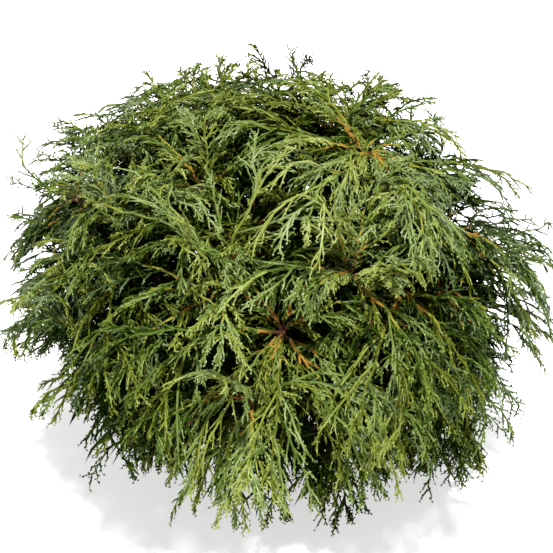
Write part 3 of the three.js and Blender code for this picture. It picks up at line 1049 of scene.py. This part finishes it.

# %% [markdown]
# Behind the fresh outer sprays are older twigs that no longer see the sun. They are what makes such a
# plant dense inside, and their shoots carry the darkest colours, as painted shade for its dark inside;
# without them the floor would shine through. They stand round the leaders, the boughs and the upper half
# of the stem in the same turning order, and bear simpler shoots.

# %% Where the older twigs stand
LEADER_SPACING = 5.5
STEM_TWIGS = 26
BOUGH_TWIGS = 18
BOUGH_POINTS = 12
BARE_BOUGH_POINTS = 3
OLD_TURN_NUDGE = 0.1
OLD_FORWARDS = 0.55
LEADER_KEYS, BOUGH_KEYS, STEM_KEYS = 5000, 7000, 9000
CARRIER = 9


def ring_of_twigs(line, key, first_key, bare=1):
    """Where the older twigs of one limb start and which way they head: out all round it and a little
    forwards. The last points of the line, bare of them, carry none."""
    line, along = line[:-bare], unit(np.gradient(line, axis=0))[:-bare]
    t = np.arange(len(along))
    turn = 2 * np.pi * (t * GOLDEN_SHARE + OLD_TURN_NUDGE * jitter(41, key, t))
    level = unit(np.cross(along, UP) + 1e-6)
    raised = np.cross(level, along)
    across = np.cos(turn)[:, None] * level + np.sin(turn)[:, None] * raised
    return line, unit(OLD_FORWARDS * along + across), key * KEYS_PER_HEAD + t + first_key


def even_points(line, count):
    """So many points spaced evenly over the steps of a bent line."""
    t = np.linspace(0, len(line) - 1, count)
    return np.stack([np.interp(t, np.arange(len(line)), line[:, axis]) for axis in range(3)], axis=1)


def rings_in(mass):
    """The starts, headings and keys of a mass's older twigs, along each leader and along the bough and
    the stem that carry them. The tip's mass has no bough, so some of its own stand round the upper half
    of the plant's stem."""
    rings = []
    for h, leader in enumerate(mass["leaders"]):
        count = round(np.linalg.norm(leader[2] - leader[0]) / LEADER_SPACING)
        rings.append(ring_of_twigs(bent_line(*leader, count), head_key(mass, h), LEADER_KEYS, bare=2))
    if mass["radius"]:
        bough = bent_line(*mass["bough"], BOUGH_POINTS)[BARE_BOUGH_POINTS:]
        line = even_points(np.concatenate([bough, [mass["stem"][1]]]), BOUGH_TWIGS + 1)
        rings.append(ring_of_twigs(line, head_key(mass, CARRIER), BOUGH_KEYS))
    else:
        heights = np.linspace(0.5 * STEM_HEIGHT, STEM_HEIGHT, STEM_TWIGS)
        line = np.stack([stem_point(height) for height in heights])
        rings.append(ring_of_twigs(line, head_key(mass, CARRIER), STEM_KEYS))
    return [np.concatenate(values) for values in zip(*rings)]


print("older twigs in the tip's mass:", len(rings_in(masses[0])[0]))

# %% [markdown]
# How long an older twig is depends on where it stands. They are short in the hem, where the ground is
# near, and longer towards the flanks, or daylight would show through there. In the plant's low middle,
# where nothing else grows, they are longer too. They are cut back by the same outline and by thinner
# clearings.

# %% Older twigs inside
OLD_TWIG_LENGTH = 46
OLD_TWIG_SAG = 0.8
OLD_TWIG_RINGS = 5
OLD_LENGTH = (0.8, 0.4)
OLD_HEM_SHARE = 0.5
OLD_EDGE_MORE = 0.5
LONGER_FROM = 9000
LONGER_SHARE = 1.5
OLD_CLEARING = 0.6


def older_twigs_of(mass):
    """The older twigs of a mass. The length is the plain one times the fullness there, a chance, and the
    share of the hem or of the flank. It is half as much again for the highest keys, which are those on
    the plant's own stem, on the boughs from the seventh shoulder on and on the leaders from the second
    hem on."""
    start, heading, key = rings_in(mass)
    aside = np.clip(np.abs(start[:, 0]) / (SPREAD / 2), 0, 1)
    length = OLD_TWIG_LENGTH * np.minimum(fullness(start), 1) * varied(OLD_LENGTH, 42, key)
    length = length * (OLD_HEM_SHARE if mass["name"].startswith("hem") else 1 + OLD_EDGE_MORE * aside**2)
    length = length * np.where(key >= LONGER_FROM, LONGER_SHARE, 1)
    pull = np.broadcast_to(-OLD_TWIG_SAG * UP, heading.shape)
    lines = bending_lines(start, heading, pull, length, OLD_TWIG_RINGS)
    length = length * np.minimum(room_for(lines), clear_of_others(lines, -1, width=OLD_CLEARING))
    return as_shoots(bending_lines(start, heading, pull, length, OLD_TWIG_RINGS), heading, key, length)


older_twigs = [older_twigs_of(mass) for mass in masses]
print(sum(len(t["keys"]) for t in older_twigs), "older twigs inside")

# %% [markdown]
# Colours. The foliage of this plant is never one green: it is golden at the tips that the sun reaches,
# fresh green between them, and bluer and darker round the flanks and in the shade. There the blue is
# partly the plant's own colour and partly painted shade, and the darkness is painted shade, laid on by
# the tone further down. The colours are dealt out as plain materials, face by face. There are three
# families of six steps each, gold, fresh and blue, and four finishes for the wood of a twig as it ripens
# from brown to gold.

# %% The foliage materials
GOLD = [(18, 25, 3), (50, 58, 9), (85, 94, 24), (114, 124, 46), (132, 144, 68), (145, 155, 89)]
FRESH = [(13, 26, 4), (40, 57, 12), (73, 92, 30), (101, 118, 54), (121, 138, 78), (136, 151, 98)]
BLUE = [(13, 24, 8), (34, 49, 18), (61, 77, 38), (86, 102, 59), (108, 123, 82), (128, 142, 104)]
FAMILIES = {"gold": GOLD, "fresh": FRESH, "blue": BLUE}
WAX = [0.0, 0.0, 0.1, 0.2, 0.3, 0.4]
DULLEST, GLOSSIER = 0.7, 0.03
WOOD_ROUGHNESS, WOOD_WAX = 0.6, 0.15
RIPENING = [(72, 42, 26), (130, 84, 36), (150, 112, 42), (136, 132, 48)]


def plain_finish(name, colour, roughness, wax):
    """A plain finish: one colour and a soft gloss, with more wax on the younger growth."""
    material, shader = new_material(name)
    shader.inputs["Base Color"].default_value = srgb(*colour)
    shader.inputs["Roughness"].default_value = roughness
    shader.inputs["Specular IOR Level"].default_value = wax
    return material


def family_of_finishes(name, colours):
    """The six finishes of one family, from dark and dull to light and waxy."""
    return [
        plain_finish(f"scale_leaf_{name}_{i}", colour, DULLEST - GLOSSIER * i, WAX[i])
        for i, colour in enumerate(colours)
    ]


leafy = sum([family_of_finishes(*family) for family in FAMILIES.items()], [])
ripening = [
    plain_finish(f"twig_ripening_{i}", colour, WOOD_ROUGHNESS, WOOD_WAX) for i, colour in enumerate(RIPENING)
]
STEPS = len(WAX)
print(len(leafy), "leaf finishes and", len(ripening), "for wood")

# %% [markdown]
# How light a shoot is follows from where on the mound its end is and how far out of it that reaches.
# The render's light and shade do much of this by themselves, and on top of that light and shade are
# painted into the colour: painted light on the side that faces the sun and in the fringe, and painted
# shade deep inside, in a valley down each flank and low on the left. The lighter steps are also the
# waxier ones, and a formula of the place can say so for thousands of shoots at once.

# %% Painted light and shade: how light a shoot is
# Painted light: shoots whose ends face this side of the mound are made lighter, as if lit by the sun.
PAINTED_SUN_SIDE = unit(np.array([0.0, -0.7, 0.7]))
PAINTED_SUN_POWER = 1.5
LOW_BELOW = 0.4
LIT_DEPTH = 0.86
DEPTHS = (-0.5, 0.12)
VALLEY, VALLEY_WIDTH = 0.66, 0.26
VALLEY_TOP, VALLEY_SLOPE = 2.0, 2.4
FRINGE_WIDTH, FRINGE_FROM = 0.3, 2.9
# How much each measure adds to the tone: painted light on the sunny side and in the fringe, painted shade in
# the valleys, low on the left and deep inside.
TONES = {"base": 0.25, "painted_sunlight": 0.3, "painted_fringe_light": 0.08, "painted_valley_shade": -0.2, "painted_low_left_shade": -0.12, "painted_depth_shade": 1.5}


def from_middle(points):
    """Where points are from the mound's middle, as shares of its half spread and half height."""
    return (points - UP * HEIGHT / 2) / np.array([SPREAD / 2, SPREAD / 2, HEIGHT / 2])


def tone_at(points):
    """How light a shoot is, where 0 and less is darkest and 1 and more is lightest. Painted light makes it
    lighter on the side that faces the sun and in the fringe, and painted shade makes it darker in a valley
    down each flank, low on the left and deeper inside. The tone is the base plus each of these measures
    times its own number."""
    place = from_middle(points)
    side = unit(place)
    painted_sunlight = np.maximum(side @ PAINTED_SUN_SIDE, 0) ** PAINTED_SUN_POWER
    painted_low_left_shade = np.clip(-side[:, 0], 0, 1) * np.clip(LOW_BELOW - side[:, 2], 0, 1)
    painted_depth_shade = np.clip(np.linalg.norm(place, axis=1) - LIT_DEPTH, *DEPTHS)
    painted_valley_shade = np.exp(-(((np.abs(place[:, 0]) - VALLEY) / VALLEY_WIDTH) ** 2))
    painted_valley_shade = painted_valley_shade * np.clip(VALLEY_TOP - VALLEY_SLOPE * place[:, 2], 0, 1)
    painted_fringe_light = np.hypot(place[:, 0], np.maximum(place[:, 2], 0)) / FRINGE_WIDTH
    painted_fringe_light = np.clip(painted_fringe_light - FRINGE_FROM, 0, 1)
    tone = TONES["base"] + TONES["painted_sunlight"] * painted_sunlight + TONES["painted_fringe_light"] * painted_fringe_light
    return tone + TONES["painted_valley_shade"] * painted_valley_shade + TONES["painted_low_left_shade"] * painted_low_left_shade + TONES["painted_depth_shade"] * painted_depth_shade


print("tones up the plant's middle:", tone_at(np.linspace(140, HEIGHT, 4)[:, None] * UP).round(2))

# %% [markdown]
# Which shoot gets which colour. A sprig belongs to one family with all that it bears: gold or fresh by
# chance, and more often blue round the flanks and at the back, where the blue is partly painted shade.
# Within the family the tone, with its painted light and shade, picks one of the six steps, with some
# chance for each shoot.

# %% Deal out the colours
TONE_CHANCE = 0.19
LIGHTER_ENDS = 0.24
FLANK_BLUE, BACK_BLUE = 0.9, 0.3
BLUE_FROM, MOST_BLUE = 0.08, 0.88


def family_at(points, keys):
    """0 for gold, 1 for fresh and 2 for blue: blue more often round the flanks and at the back, and the
    others half and half."""
    side = unit(from_middle(points))
    # Blue stands partly for painted shade here: it is dealt out more on the flanks and at the back.
    flank = FLANK_BLUE * side[:, 0] ** 2 + BACK_BLUE * np.maximum(side[:, 1], 0)
    blue = chance(32, keys) < np.clip(flank - BLUE_FROM, 0, MOST_BLUE)
    return np.where(blue, 2, (chance(35, keys) < 0.5).astype(int))


def deal_colours(shoots, lighter, along=0.0):
    """A finish number for each shoot from its family, the place of its end and chance. With a list of
    shares along the shoot, one for each triangle of its tube, it gets lighter from its foot to its
    end."""
    tone = tone_at(shoots["lines"][:, -1]) + lighter + TONE_CHANCE * jitter(31, shoots["keys"])
    tone = tone[:, None] + LIGHTER_ENDS * (np.atleast_1d(along) - 0.5)
    return STEPS * shoots["family"][:, None] + np.clip((tone * STEPS).astype(int), 0, STEPS - 1)


print("families at four places on the right flank:", family_at(np.full((4, 3), [160, 0, 100]), np.arange(4)))

# %% [markdown]
# A spray is a twig with its side shoots and theirs. Sprigs are longest in the middle of the twig and
# shorten both ways, which gives the feathered outline of a frond and leaves the hub in sight. The threads
# on them are a few millimetres long, and the scale tips on those are the smallest shoots that the eye can
# tell apart. So each kind has a rule of its own for its length, from its place on its parent and from the
# parent's length.

# %% How the shoots grow
SPRIG_SHARE, SPRIG_ENDS = 0.53, 0.2
THREAD_LENGTH, THREAD_SHARE, THREAD_LESS = 4.5, 0.26, 0.5
SHORT_LENGTH, SHORT_LESS = 9, 0.4
TIP_LENGTH, TIP_LESS = 2.4, 0.3
OLDER_SHARE = 0.38


def sprig_reach(share, whole):
    """Length of a sprig: half of its twig's in the middle of the twig, and a good deal less near both
    ends."""
    return SPRIG_SHARE * whole * (SPRIG_ENDS + (1 - SPRIG_ENDS) * np.sin(np.pi * np.clip(share, 0, 1)))


def thread_reach(share, whole):
    """Length of a thread: a few millimetres and a share of its sprig's, less towards the sprig's tip."""
    return (THREAD_LENGTH + THREAD_SHARE * whole) * (1 - THREAD_LESS * share)


def short_reach(share, whole):
    """Length of a thread that stands on the twig itself, between the sprigs."""
    return SHORT_LENGTH * (1 - SHORT_LESS * share) + 0 * whole


def tip_reach(share, whole):
    """Length of a scale tip: much the same on any shoot, a little less towards its end."""
    return TIP_LENGTH * (1 - TIP_LESS * share) + 0 * whole


def older_reach(share, whole):
    """Length of an older side shoot: a good third of its twig's."""
    return OLDER_SHARE * whole + 0 * share


print("the longest sprig of a 60 mm twig is", sprig_reach(0.5, 60), "mm long")

# %% [markdown]
# A habit holds the numbers of one kind of shoot: where on its parent the first and the last one stand and
# how they crowd towards its foot, how it sets off and bends, how long the few longest are, and how many
# steps its line has.

# %% The habit of each kind of shoot
SPRIGS, THREADS, TWIG_THREADS, TIPS, SPRIG_TIPS, OLDER_SHOOTS = 10, 9, 14, 3, 8, 14
SPRIG = {
    "first": 0.05, "last": 0.96, "crowd": 1.15, "splay": 0.62, "roll": 0.5, "lean": 0.8, "sag": 1.3,
    "curl": 0.4, "reach": sprig_reach, "long": 0.4, "steps": 5, "blunt": 0.5, "wave": 0.25,
}
THREAD = {
    "first": 0.12, "last": 0.98, "crowd": 1.0, "splay": 0.52, "roll": 0.5, "lean": 1.0, "sag": 0.9,
    "curl": 0.4, "reach": thread_reach, "long": 0.5, "steps": 2, "blunt": 0.7, "wave": 0.2,
}
ON_TWIG = {
    **THREAD, "first": 0.03, "last": 1.0, "crowd": 1.5, "splay": 0.7, "sag": 0.3, "reach": short_reach,
}
TIP = {
    "first": 0.1, "last": 1.0, "crowd": 1.0, "splay": 0.8, "roll": 0.8, "lean": 0.3, "sag": 0.2,
    "curl": 0.2, "reach": tip_reach, "long": 1.0, "steps": 2, "blunt": 1.0, "wave": 0.15,
}
OLDER = {
    "first": 0.1, "last": 0.95, "crowd": 1.0, "splay": 0.9, "roll": 0.6, "lean": 0.4, "sag": 0.8,
    "curl": 0.3, "reach": older_reach, "long": 0.2, "steps": 2, "blunt": 0.7, "wave": 0.3,
}
print("a twig bears", SPRIGS + TWIG_THREADS, "shoots, and a sprig", THREADS + SPRIG_TIPS)

# %% [markdown]
# How a shoot becomes a mesh. The twigs, sprigs and threads are thin tubes whose rings swell and narrow by
# turns, as the scale leaves on them do. Every triangle gets a finish number of its own, so that a tube
# can change colour on its way.

# %% Beaded tubes
BLUE_IS_FINER = 0.9
SWELL = 0.12


def beaded(lines, radii):
    """Radii that taper evenly from the first to the last and swell at every other ring, as scale leaves
    do."""
    m = lines.shape[1]
    swell = 1 + SWELL * (1 - 2 * (np.arange(m) % 2))
    return np.broadcast_to(np.linspace(*radii, m) * swell, lines.shape[:2])


def leafy_tubes(shoots, colours, radii):
    """The shoots as three-sided tubes above the ground, finer ones in the blue family, with a colour for
    each of their triangles."""
    lines = settled(shoots["lines"])
    finer = np.where(shoots["family"] == 2, BLUE_IS_FINER, 1)[:, None]
    points, faces = tubes(lines, beaded(lines, radii) * finer, shoots["normals"])
    return points, faces, np.broadcast_to(colours, (len(points), len(faces)))


def shares_of(rings):
    """The share of the way along a tube of so many rings at which each of its triangles lies: the ring of
    its lowest corner over the number of the last ring."""
    ring = tube_triangles(rings, SHOOT_SIDES, SHOOT_TURNED).min(axis=1) // SHOOT_SIDES
    return np.minimum(ring, rings - 1) / (rings - 1)


print("the triangles of a thread lie at", shares_of(THREAD["steps"]), "of its length")

# %% [markdown]
# A scale tip is too small for a tube, and there are nearly a hundred and fifty thousand. So each is a
# single leaf of two faces, folded along its middle so that it catches the light from any side.

# %% Folded scales
SCALE_RADIUS = 0.75
FOLD = 0.5


def joined(parts):
    """Several sets of tubes as one list of points, one of triangles and one of colours."""
    flat_points, flat_faces, flat_colours, offset = [], [], [], 0
    for points, faces, colours in parts:
        some_points, some_faces = gathered(points, faces)
        flat_points.append(some_points)
        flat_faces.append(some_faces + offset)
        flat_colours.append(colours.ravel())
        offset += len(some_points)
    return np.concatenate(flat_points), np.concatenate(flat_faces), np.concatenate(flat_colours)


def scales(shoots, colours):
    """The small shoots as scale leaves of two faces, folded along the middle: a foot, a tip and two
    corners between, one to each side of the line and a little above it."""
    lines = settled(shoots["lines"])
    along = unit(lines[:, -1] - lines[:, 0])
    level = unit(np.cross(along, shoots["normals"]) + 1e-9)
    raised = lines[:, 1] + FOLD * SCALE_RADIUS * np.cross(level, along)
    left, right = raised + SCALE_RADIUS * level, raised - SCALE_RADIUS * level
    points = np.stack([lines[:, 0], left, right, lines[:, -1]], axis=1)
    faces = np.array([[0, 1, 3], [0, 3, 2]])
    return points, faces, np.broadcast_to(colours, (len(points), 2))


print("a scale tip is", 2 * SCALE_RADIUS, "mm wide")

# %% [markdown]
# Now every level is grown, mass by mass, each from the one before. The family of colours is chosen once
# for each sprig, so that a sprig and all that it bears look like one shoot. Sprigs that would hang over
# another bold head's hub are left out, and so are the scale tips deep inside, which nobody sees. Shoots
# are darker near a twig's foot and lighter at its end, and those of shy heads get painted shade, those of
# bold heads a little painted light.

# %% Grow the shoots of a mass
# Painted light and painted shade: the twigs of bold heads are made lighter, those of shy heads darker.
IN_LIGHT, IN_SHADE = 0.04, -0.2
TWIG_TONE_CHANCE = 0.1
BOLD_LIGHTENS_OUTWARDS, SHY_LIGHTENS_OUTWARDS = 0.1, 0.25
LIGHTER_FROM = 0.6
SPRIG_CLEARING = 0.5
UNCUT = 0.99
BOLD_SEEN_FROM = 0.66
SHY_SEEN_FROM = 0.78
SEEN_BELOW = 70


def only(shoots, wanted):
    """Those of the shoots that are wanted."""
    return {part: values[wanted] for part, values in shoots.items()}


def shoots_of(twig, older):
    """All the shoots that one mass's twigs bear, and the simpler ones of the older twigs inside."""
    twig["family"] = family_at(twig["lines"][:, -1], twig["keys"])
    sprigs = grow_sides(twig, SPRIGS, SPRIG, 10)
    owners = twig["keys"][sprigs["twig"]] // KEYS_PER_HEAD
    sprigs = only(sprigs, clear_of_others(sprigs["lines"], owners, width=SPRIG_CLEARING) > UNCUT)
    sprigs["family"] = family_at(sprigs["lines"][:, -1], sprigs["keys"])
    threads = together(grow_sides(sprigs, THREADS, THREAD, 20), grow_sides(twig, TWIG_THREADS, ON_TWIG, 80))
    tips = together(grow_sides(threads, TIPS, TIP, 30), grow_sides(sprigs, SPRIG_TIPS, TIP, 90))
    ends = tips["lines"][:, -1]
    seen_from = np.where(twig["bold"], BOLD_SEEN_FROM, SHY_SEEN_FROM)[tips["twig"]]
    tips = only(tips, (outwardness(ends) > seen_from) | (ends[:, 2] < SEEN_BELOW))
    inside = grow_sides(older, OLDER_SHOOTS, OLDER, 50)
    return {"sprigs": sprigs, "threads": threads, "tips": tips, "older": inside}


def twig_tone_with_painted_light_and_shade(shoots, twig):
    """How much lighter shoots are for their place on the twig, darker near its foot and lighter at its end,
    and for the twig itself: painted light for those of the bold heads, which stand out in the light, and
    painted shade for the others, which are in their shade."""
    owner = shoots["twig"]
    away = np.linalg.norm(shoots["lines"][:, -1] - twig["lines"][owner, 0], axis=1) / twig["lengths"][owner]
    in_light = np.where(twig["bold"], IN_LIGHT, IN_SHADE) + TWIG_TONE_CHANCE * jitter(33, twig["keys"])
    lightens = np.where(twig["bold"], BOLD_LIGHTENS_OUTWARDS, SHY_LIGHTENS_OUTWARDS)
    return lightens[owner] * (away - LIGHTER_FROM) + in_light[owner]


shoots = [shoots_of(*parts) for parts in zip(twigs, older_twigs)]
for kind in ("sprigs", "threads", "tips"):
    print(sum(len(s[kind]["keys"]) for s in shoots), kind)

# %% [markdown]
# The wood and the foliage of a mass are separate pieces. First the wood: the twigs, the sprigs on them
# and the older twigs inside. The foot of each twig is bare and ripens outwards, brown at the hub, then
# orange, amber and gold, and the rest of it has the colour of its own scales. So do the first sprigs of a
# bold head's twigs, and together they are the amber strokes that mark a hub. Chance sets the pace of each
# twig, so that some are bare for a long way and their neighbours hardly at all.

# %% Mesh the twigs
BOLD_RIPENING = [4, 9, 24, 42]
SHY_RIPENING = [4, 7, 10, 14]
SPRIG_RIPENING = [0, 0, 3, 7]
RIPENING_PACE = (0.3, 1.2)
AMBER_SPRIGS = 3
SPRIG_DARKER = 0.06
TWIG_RADII = (1.15, 0.7)
SPRIG_RADII = (0.9, 0.55)
OLD_TWIG_RADII = (1.0, 0.6)


def with_wood(colours, lengths, rings, ends, woody):
    """A finish number for each triangle of these shoots. The woody ones ripen ring by ring, from brown to
    gold, at the given millimetres from their foot, and all else has the shoot's own colour."""
    away = shares_of(rings)[None] * lengths[:, None]
    return np.where((away < ends[-1]) & woody[:, None], len(leafy) + np.digitize(away, ends[:-1]), colours)


def twig_piece(mass, twig, older, shoots):
    """One mass's wood as a single piece: twigs, the sprigs on them and the older twigs inside."""
    sprigs, bold = shoots["sprigs"], twig["bold"]
    own = deal_colours(twig, np.where(bold, IN_LIGHT, IN_SHADE))
    paced = twig["lengths"] / varied(RIPENING_PACE, 52, twig["keys"])
    shy_wood = with_wood(own, paced, TWIG_RINGS, SHY_RIPENING, ~bold)
    bold_wood = with_wood(own, paced, TWIG_RINGS, BOLD_RIPENING, bold)
    on_sprigs = deal_colours(sprigs, twig_tone_with_painted_light_and_shade(sprigs, twig) - SPRIG_DARKER, shares_of(SPRIG["steps"]))
    near_hub = (sprigs["order"] < AMBER_SPRIGS) & bold[sprigs["twig"]]
    sprig_wood = with_wood(on_sprigs, sprigs["lengths"], SPRIG["steps"], SPRIG_RIPENING, near_hub)
    points, faces, colours = joined([
        leafy_tubes(twig, np.where(bold[:, None], bold_wood, shy_wood), TWIG_RADII),
        leafy_tubes(sprigs, sprig_wood, SPRIG_RADII),
        leafy_tubes(older, len(leafy), OLD_TWIG_RADII),
    ])
    return add_piece(f"twigs_{mass['name']}", points, faces, leafy + ripening, colours)


twig_pieces = [twig_piece(*parts) for parts in zip(masses, twigs, older_twigs, shoots)]
counts = [len(piece.data.polygons) for piece in twig_pieces]
print("twigs:", sum(counts), "triangles in", len(twig_pieces), "pieces, the largest", max(counts))

# %% [markdown]
# Last the foliage, which takes the place of the plain solid of its mass: all the threads and scale tips,
# and the simple shoots of the older twigs, dark with painted shade, which are there to be seen between the
# others.

# %% Mesh the sprays
THREAD_RADII = (0.7, 0.5)
OLDER_RADII = (1.2, 0.8)
TIP_LIGHTER = 0.05
TIP_TONE_CHANCE = 0.1
OLDER_BLUE = 0.5
OLDER_LIGHT = 0.3


def spray_piece(mass, twig, shoots):
    """One mass's foliage as a single piece: threads, scale tips and the shoots of the older twigs inside,
    which have the darkest two colours of the fresh and the blue family, as painted shade."""
    threads, tips, older = shoots["threads"], shoots["tips"], shoots["older"]
    on_threads = deal_colours(threads, twig_tone_with_painted_light_and_shade(threads, twig), shares_of(THREAD["steps"]))
    lighter = twig_tone_with_painted_light_and_shade(tips, twig) + TIP_LIGHTER + TIP_TONE_CHANCE * jitter(34, tips["keys"])
    # Painted shade: the older shoots take the darkest two steps, so that the plant's inside reads dark.
    family = 1 + (chance(43, older["keys"]) < OLDER_BLUE)
    painted_inner_shade = STEPS * family + (chance(44, older["keys"]) < OLDER_LIGHT)
    points, faces, colours = joined([
        leafy_tubes(threads, on_threads, THREAD_RADII),
        scales(tips, deal_colours(tips, lighter)),
        leafy_tubes(older, painted_inner_shade[:, None], OLDER_RADII),
    ])
    solid = f"foliage_{mass['name']}"
    return add_piece(f"sprays_{mass['name']}", points, faces, leafy, colours, replaces=[solid])


sprays = [spray_piece(*parts) for parts in zip(masses, twigs, shoots)]
counts = [len(piece.data.polygons) for piece in sprays]
print("sprays:", sum(counts), "triangles in", len(sprays), "pieces, the largest", max(counts))

# %% [markdown]
# The floor. In the photograph the plant is cut out on white, without a floor or a shadow. So the floor is
# large and pale and glows a little, as a light table does, which keeps the plant's shadow faint. It is
# declared as stage, because it is no part of the plant.

# %% Lay the floor
FLOOR_RADIUS = 6
FLOOR_SIDES = 96
FLOOR_GREY = 0.86
FLOOR_ROUGHNESS = 0.9
FLOOR_GLOW = 0.6


def add_floor():
    """A round pale floor under the plant."""
    turn = np.linspace(0, 2 * np.pi, FLOOR_SIDES, endpoint=False)
    rim = np.stack([FLOOR_RADIUS * np.cos(turn), FLOOR_RADIUS * np.sin(turn), 0 * turn], axis=1)
    mesh = bpy.data.meshes.new("floor")
    mesh.from_pydata(rim.tolist(), [], [list(range(FLOOR_SIDES))])
    material, shader = new_material("pale_floor")
    shader.inputs["Base Color"].default_value = (FLOOR_GREY, FLOOR_GREY, FLOOR_GREY, 1)
    shader.inputs["Roughness"].default_value = FLOOR_ROUGHNESS
    shader.inputs["Emission Color"].default_value = (1, 1, 1, 1)
    shader.inputs["Emission Strength"].default_value = FLOOR_GLOW
    mesh.materials.append(material)
    floor = put_in_scene("floor", mesh)
    floor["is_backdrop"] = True


add_floor()
print("a floor", 2 * FLOOR_RADIUS, "m wide")

# %% [markdown]
# The camera looks down on the plant at about a third of a right angle, as in the photograph. Its long
# lens keeps the near and far threads at nearly one scale. The distance follows from the lens and from how
# many millimetres a pixel shows, and the aim is moved until the mound's middle lies at its own pixel.

# %% Set up the camera
ELEVATION = np.radians(32)
FRAME_PIXELS = 553
MM_PER_PIXEL = 0.72
MIDDLE_PIXEL = (276, 288)
LENS = 100.0
SENSOR = 36.0


def add_camera():
    """A camera to the south of the plant that looks north and down. It stands so far away that the width
    in the frame over the distance is the sensor's width over the lens."""
    aim = np.array([0.0, 0.0, HEIGHT / 2]) * MM
    back = np.array([0.0, -np.cos(ELEVATION), np.sin(ELEVATION)])
    up = np.array([0.0, np.sin(ELEVATION), np.cos(ELEVATION)])
    right = np.array([1.0, 0.0, 0.0])
    pixel = MM_PER_PIXEL * MM
    distance = FRAME_PIXELS * pixel * LENS / SENSOR
    across, down = (middle - FRAME_PIXELS / 2 for middle in MIDDLE_PIXEL)
    aim = aim + up * pixel * down - right * pixel * across
    camera = put_in_scene("camera", bpy.data.cameras.new("camera"))
    camera.data.lens = LENS
    camera.data.sensor_width = SENSOR
    camera.location = aim + back * distance
    camera.rotation_euler = (np.pi / 2 - ELEVATION, 0, 0)
    bpy.context.scene.camera = camera
    return distance


print(f"camera {add_camera():.2f} m away")

# %% [markdown]
# The light is soft and comes from nearly overhead, a little to the front. A sun with a wide disc gives
# it, and an even white world fills the shade. A wider disc would wash out the gaps between the sprays.

# %% Light the plant
SUN_FROM = (0.05, -0.35, 1.4)
SUN_STRENGTH = 6.4
SUN_WIDTH = 6
WORLD_STRENGTH = 0.38


def add_sun(name, from_where, strength, width):
    """A distant light from a direction, with the width of its disc in degrees: wide makes soft shadows.
    Its tilt is the arc tangent of how level the direction is over how high, and its turn follows the
    compass."""
    light = bpy.data.lights.new(name, "SUN")
    light.energy = strength
    light.angle = np.radians(width)
    x, y, z = from_where
    turned = (np.arctan2(np.hypot(x, y), z), 0, np.arctan2(y, x) + np.pi / 2)
    put_in_scene(name, light).rotation_euler = turned


add_sun("key", SUN_FROM, SUN_STRENGTH, SUN_WIDTH)
world = bpy.data.worlds.new("studio")
world.use_nodes = True
world.node_tree.nodes["Background"].inputs["Color"].default_value = (1, 1, 1, 1)
world.node_tree.nodes["Background"].inputs["Strength"].default_value = WORLD_STRENGTH
bpy.context.scene.world = world
bpy.context.scene.view_settings.view_transform = "Standard"
print("a sun of strength", SUN_STRENGTH, "and a world of", WORLD_STRENGTH)

# %% [markdown]
# Last, the size: the box of the dressed plant is printed. The dressed plant must stay as large
# as its solids.

# %% The dressed plant's box
low, high = (np.array(corner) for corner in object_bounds())
print("the dressed plant reaches from", low.round(4), "to", high.round(4))
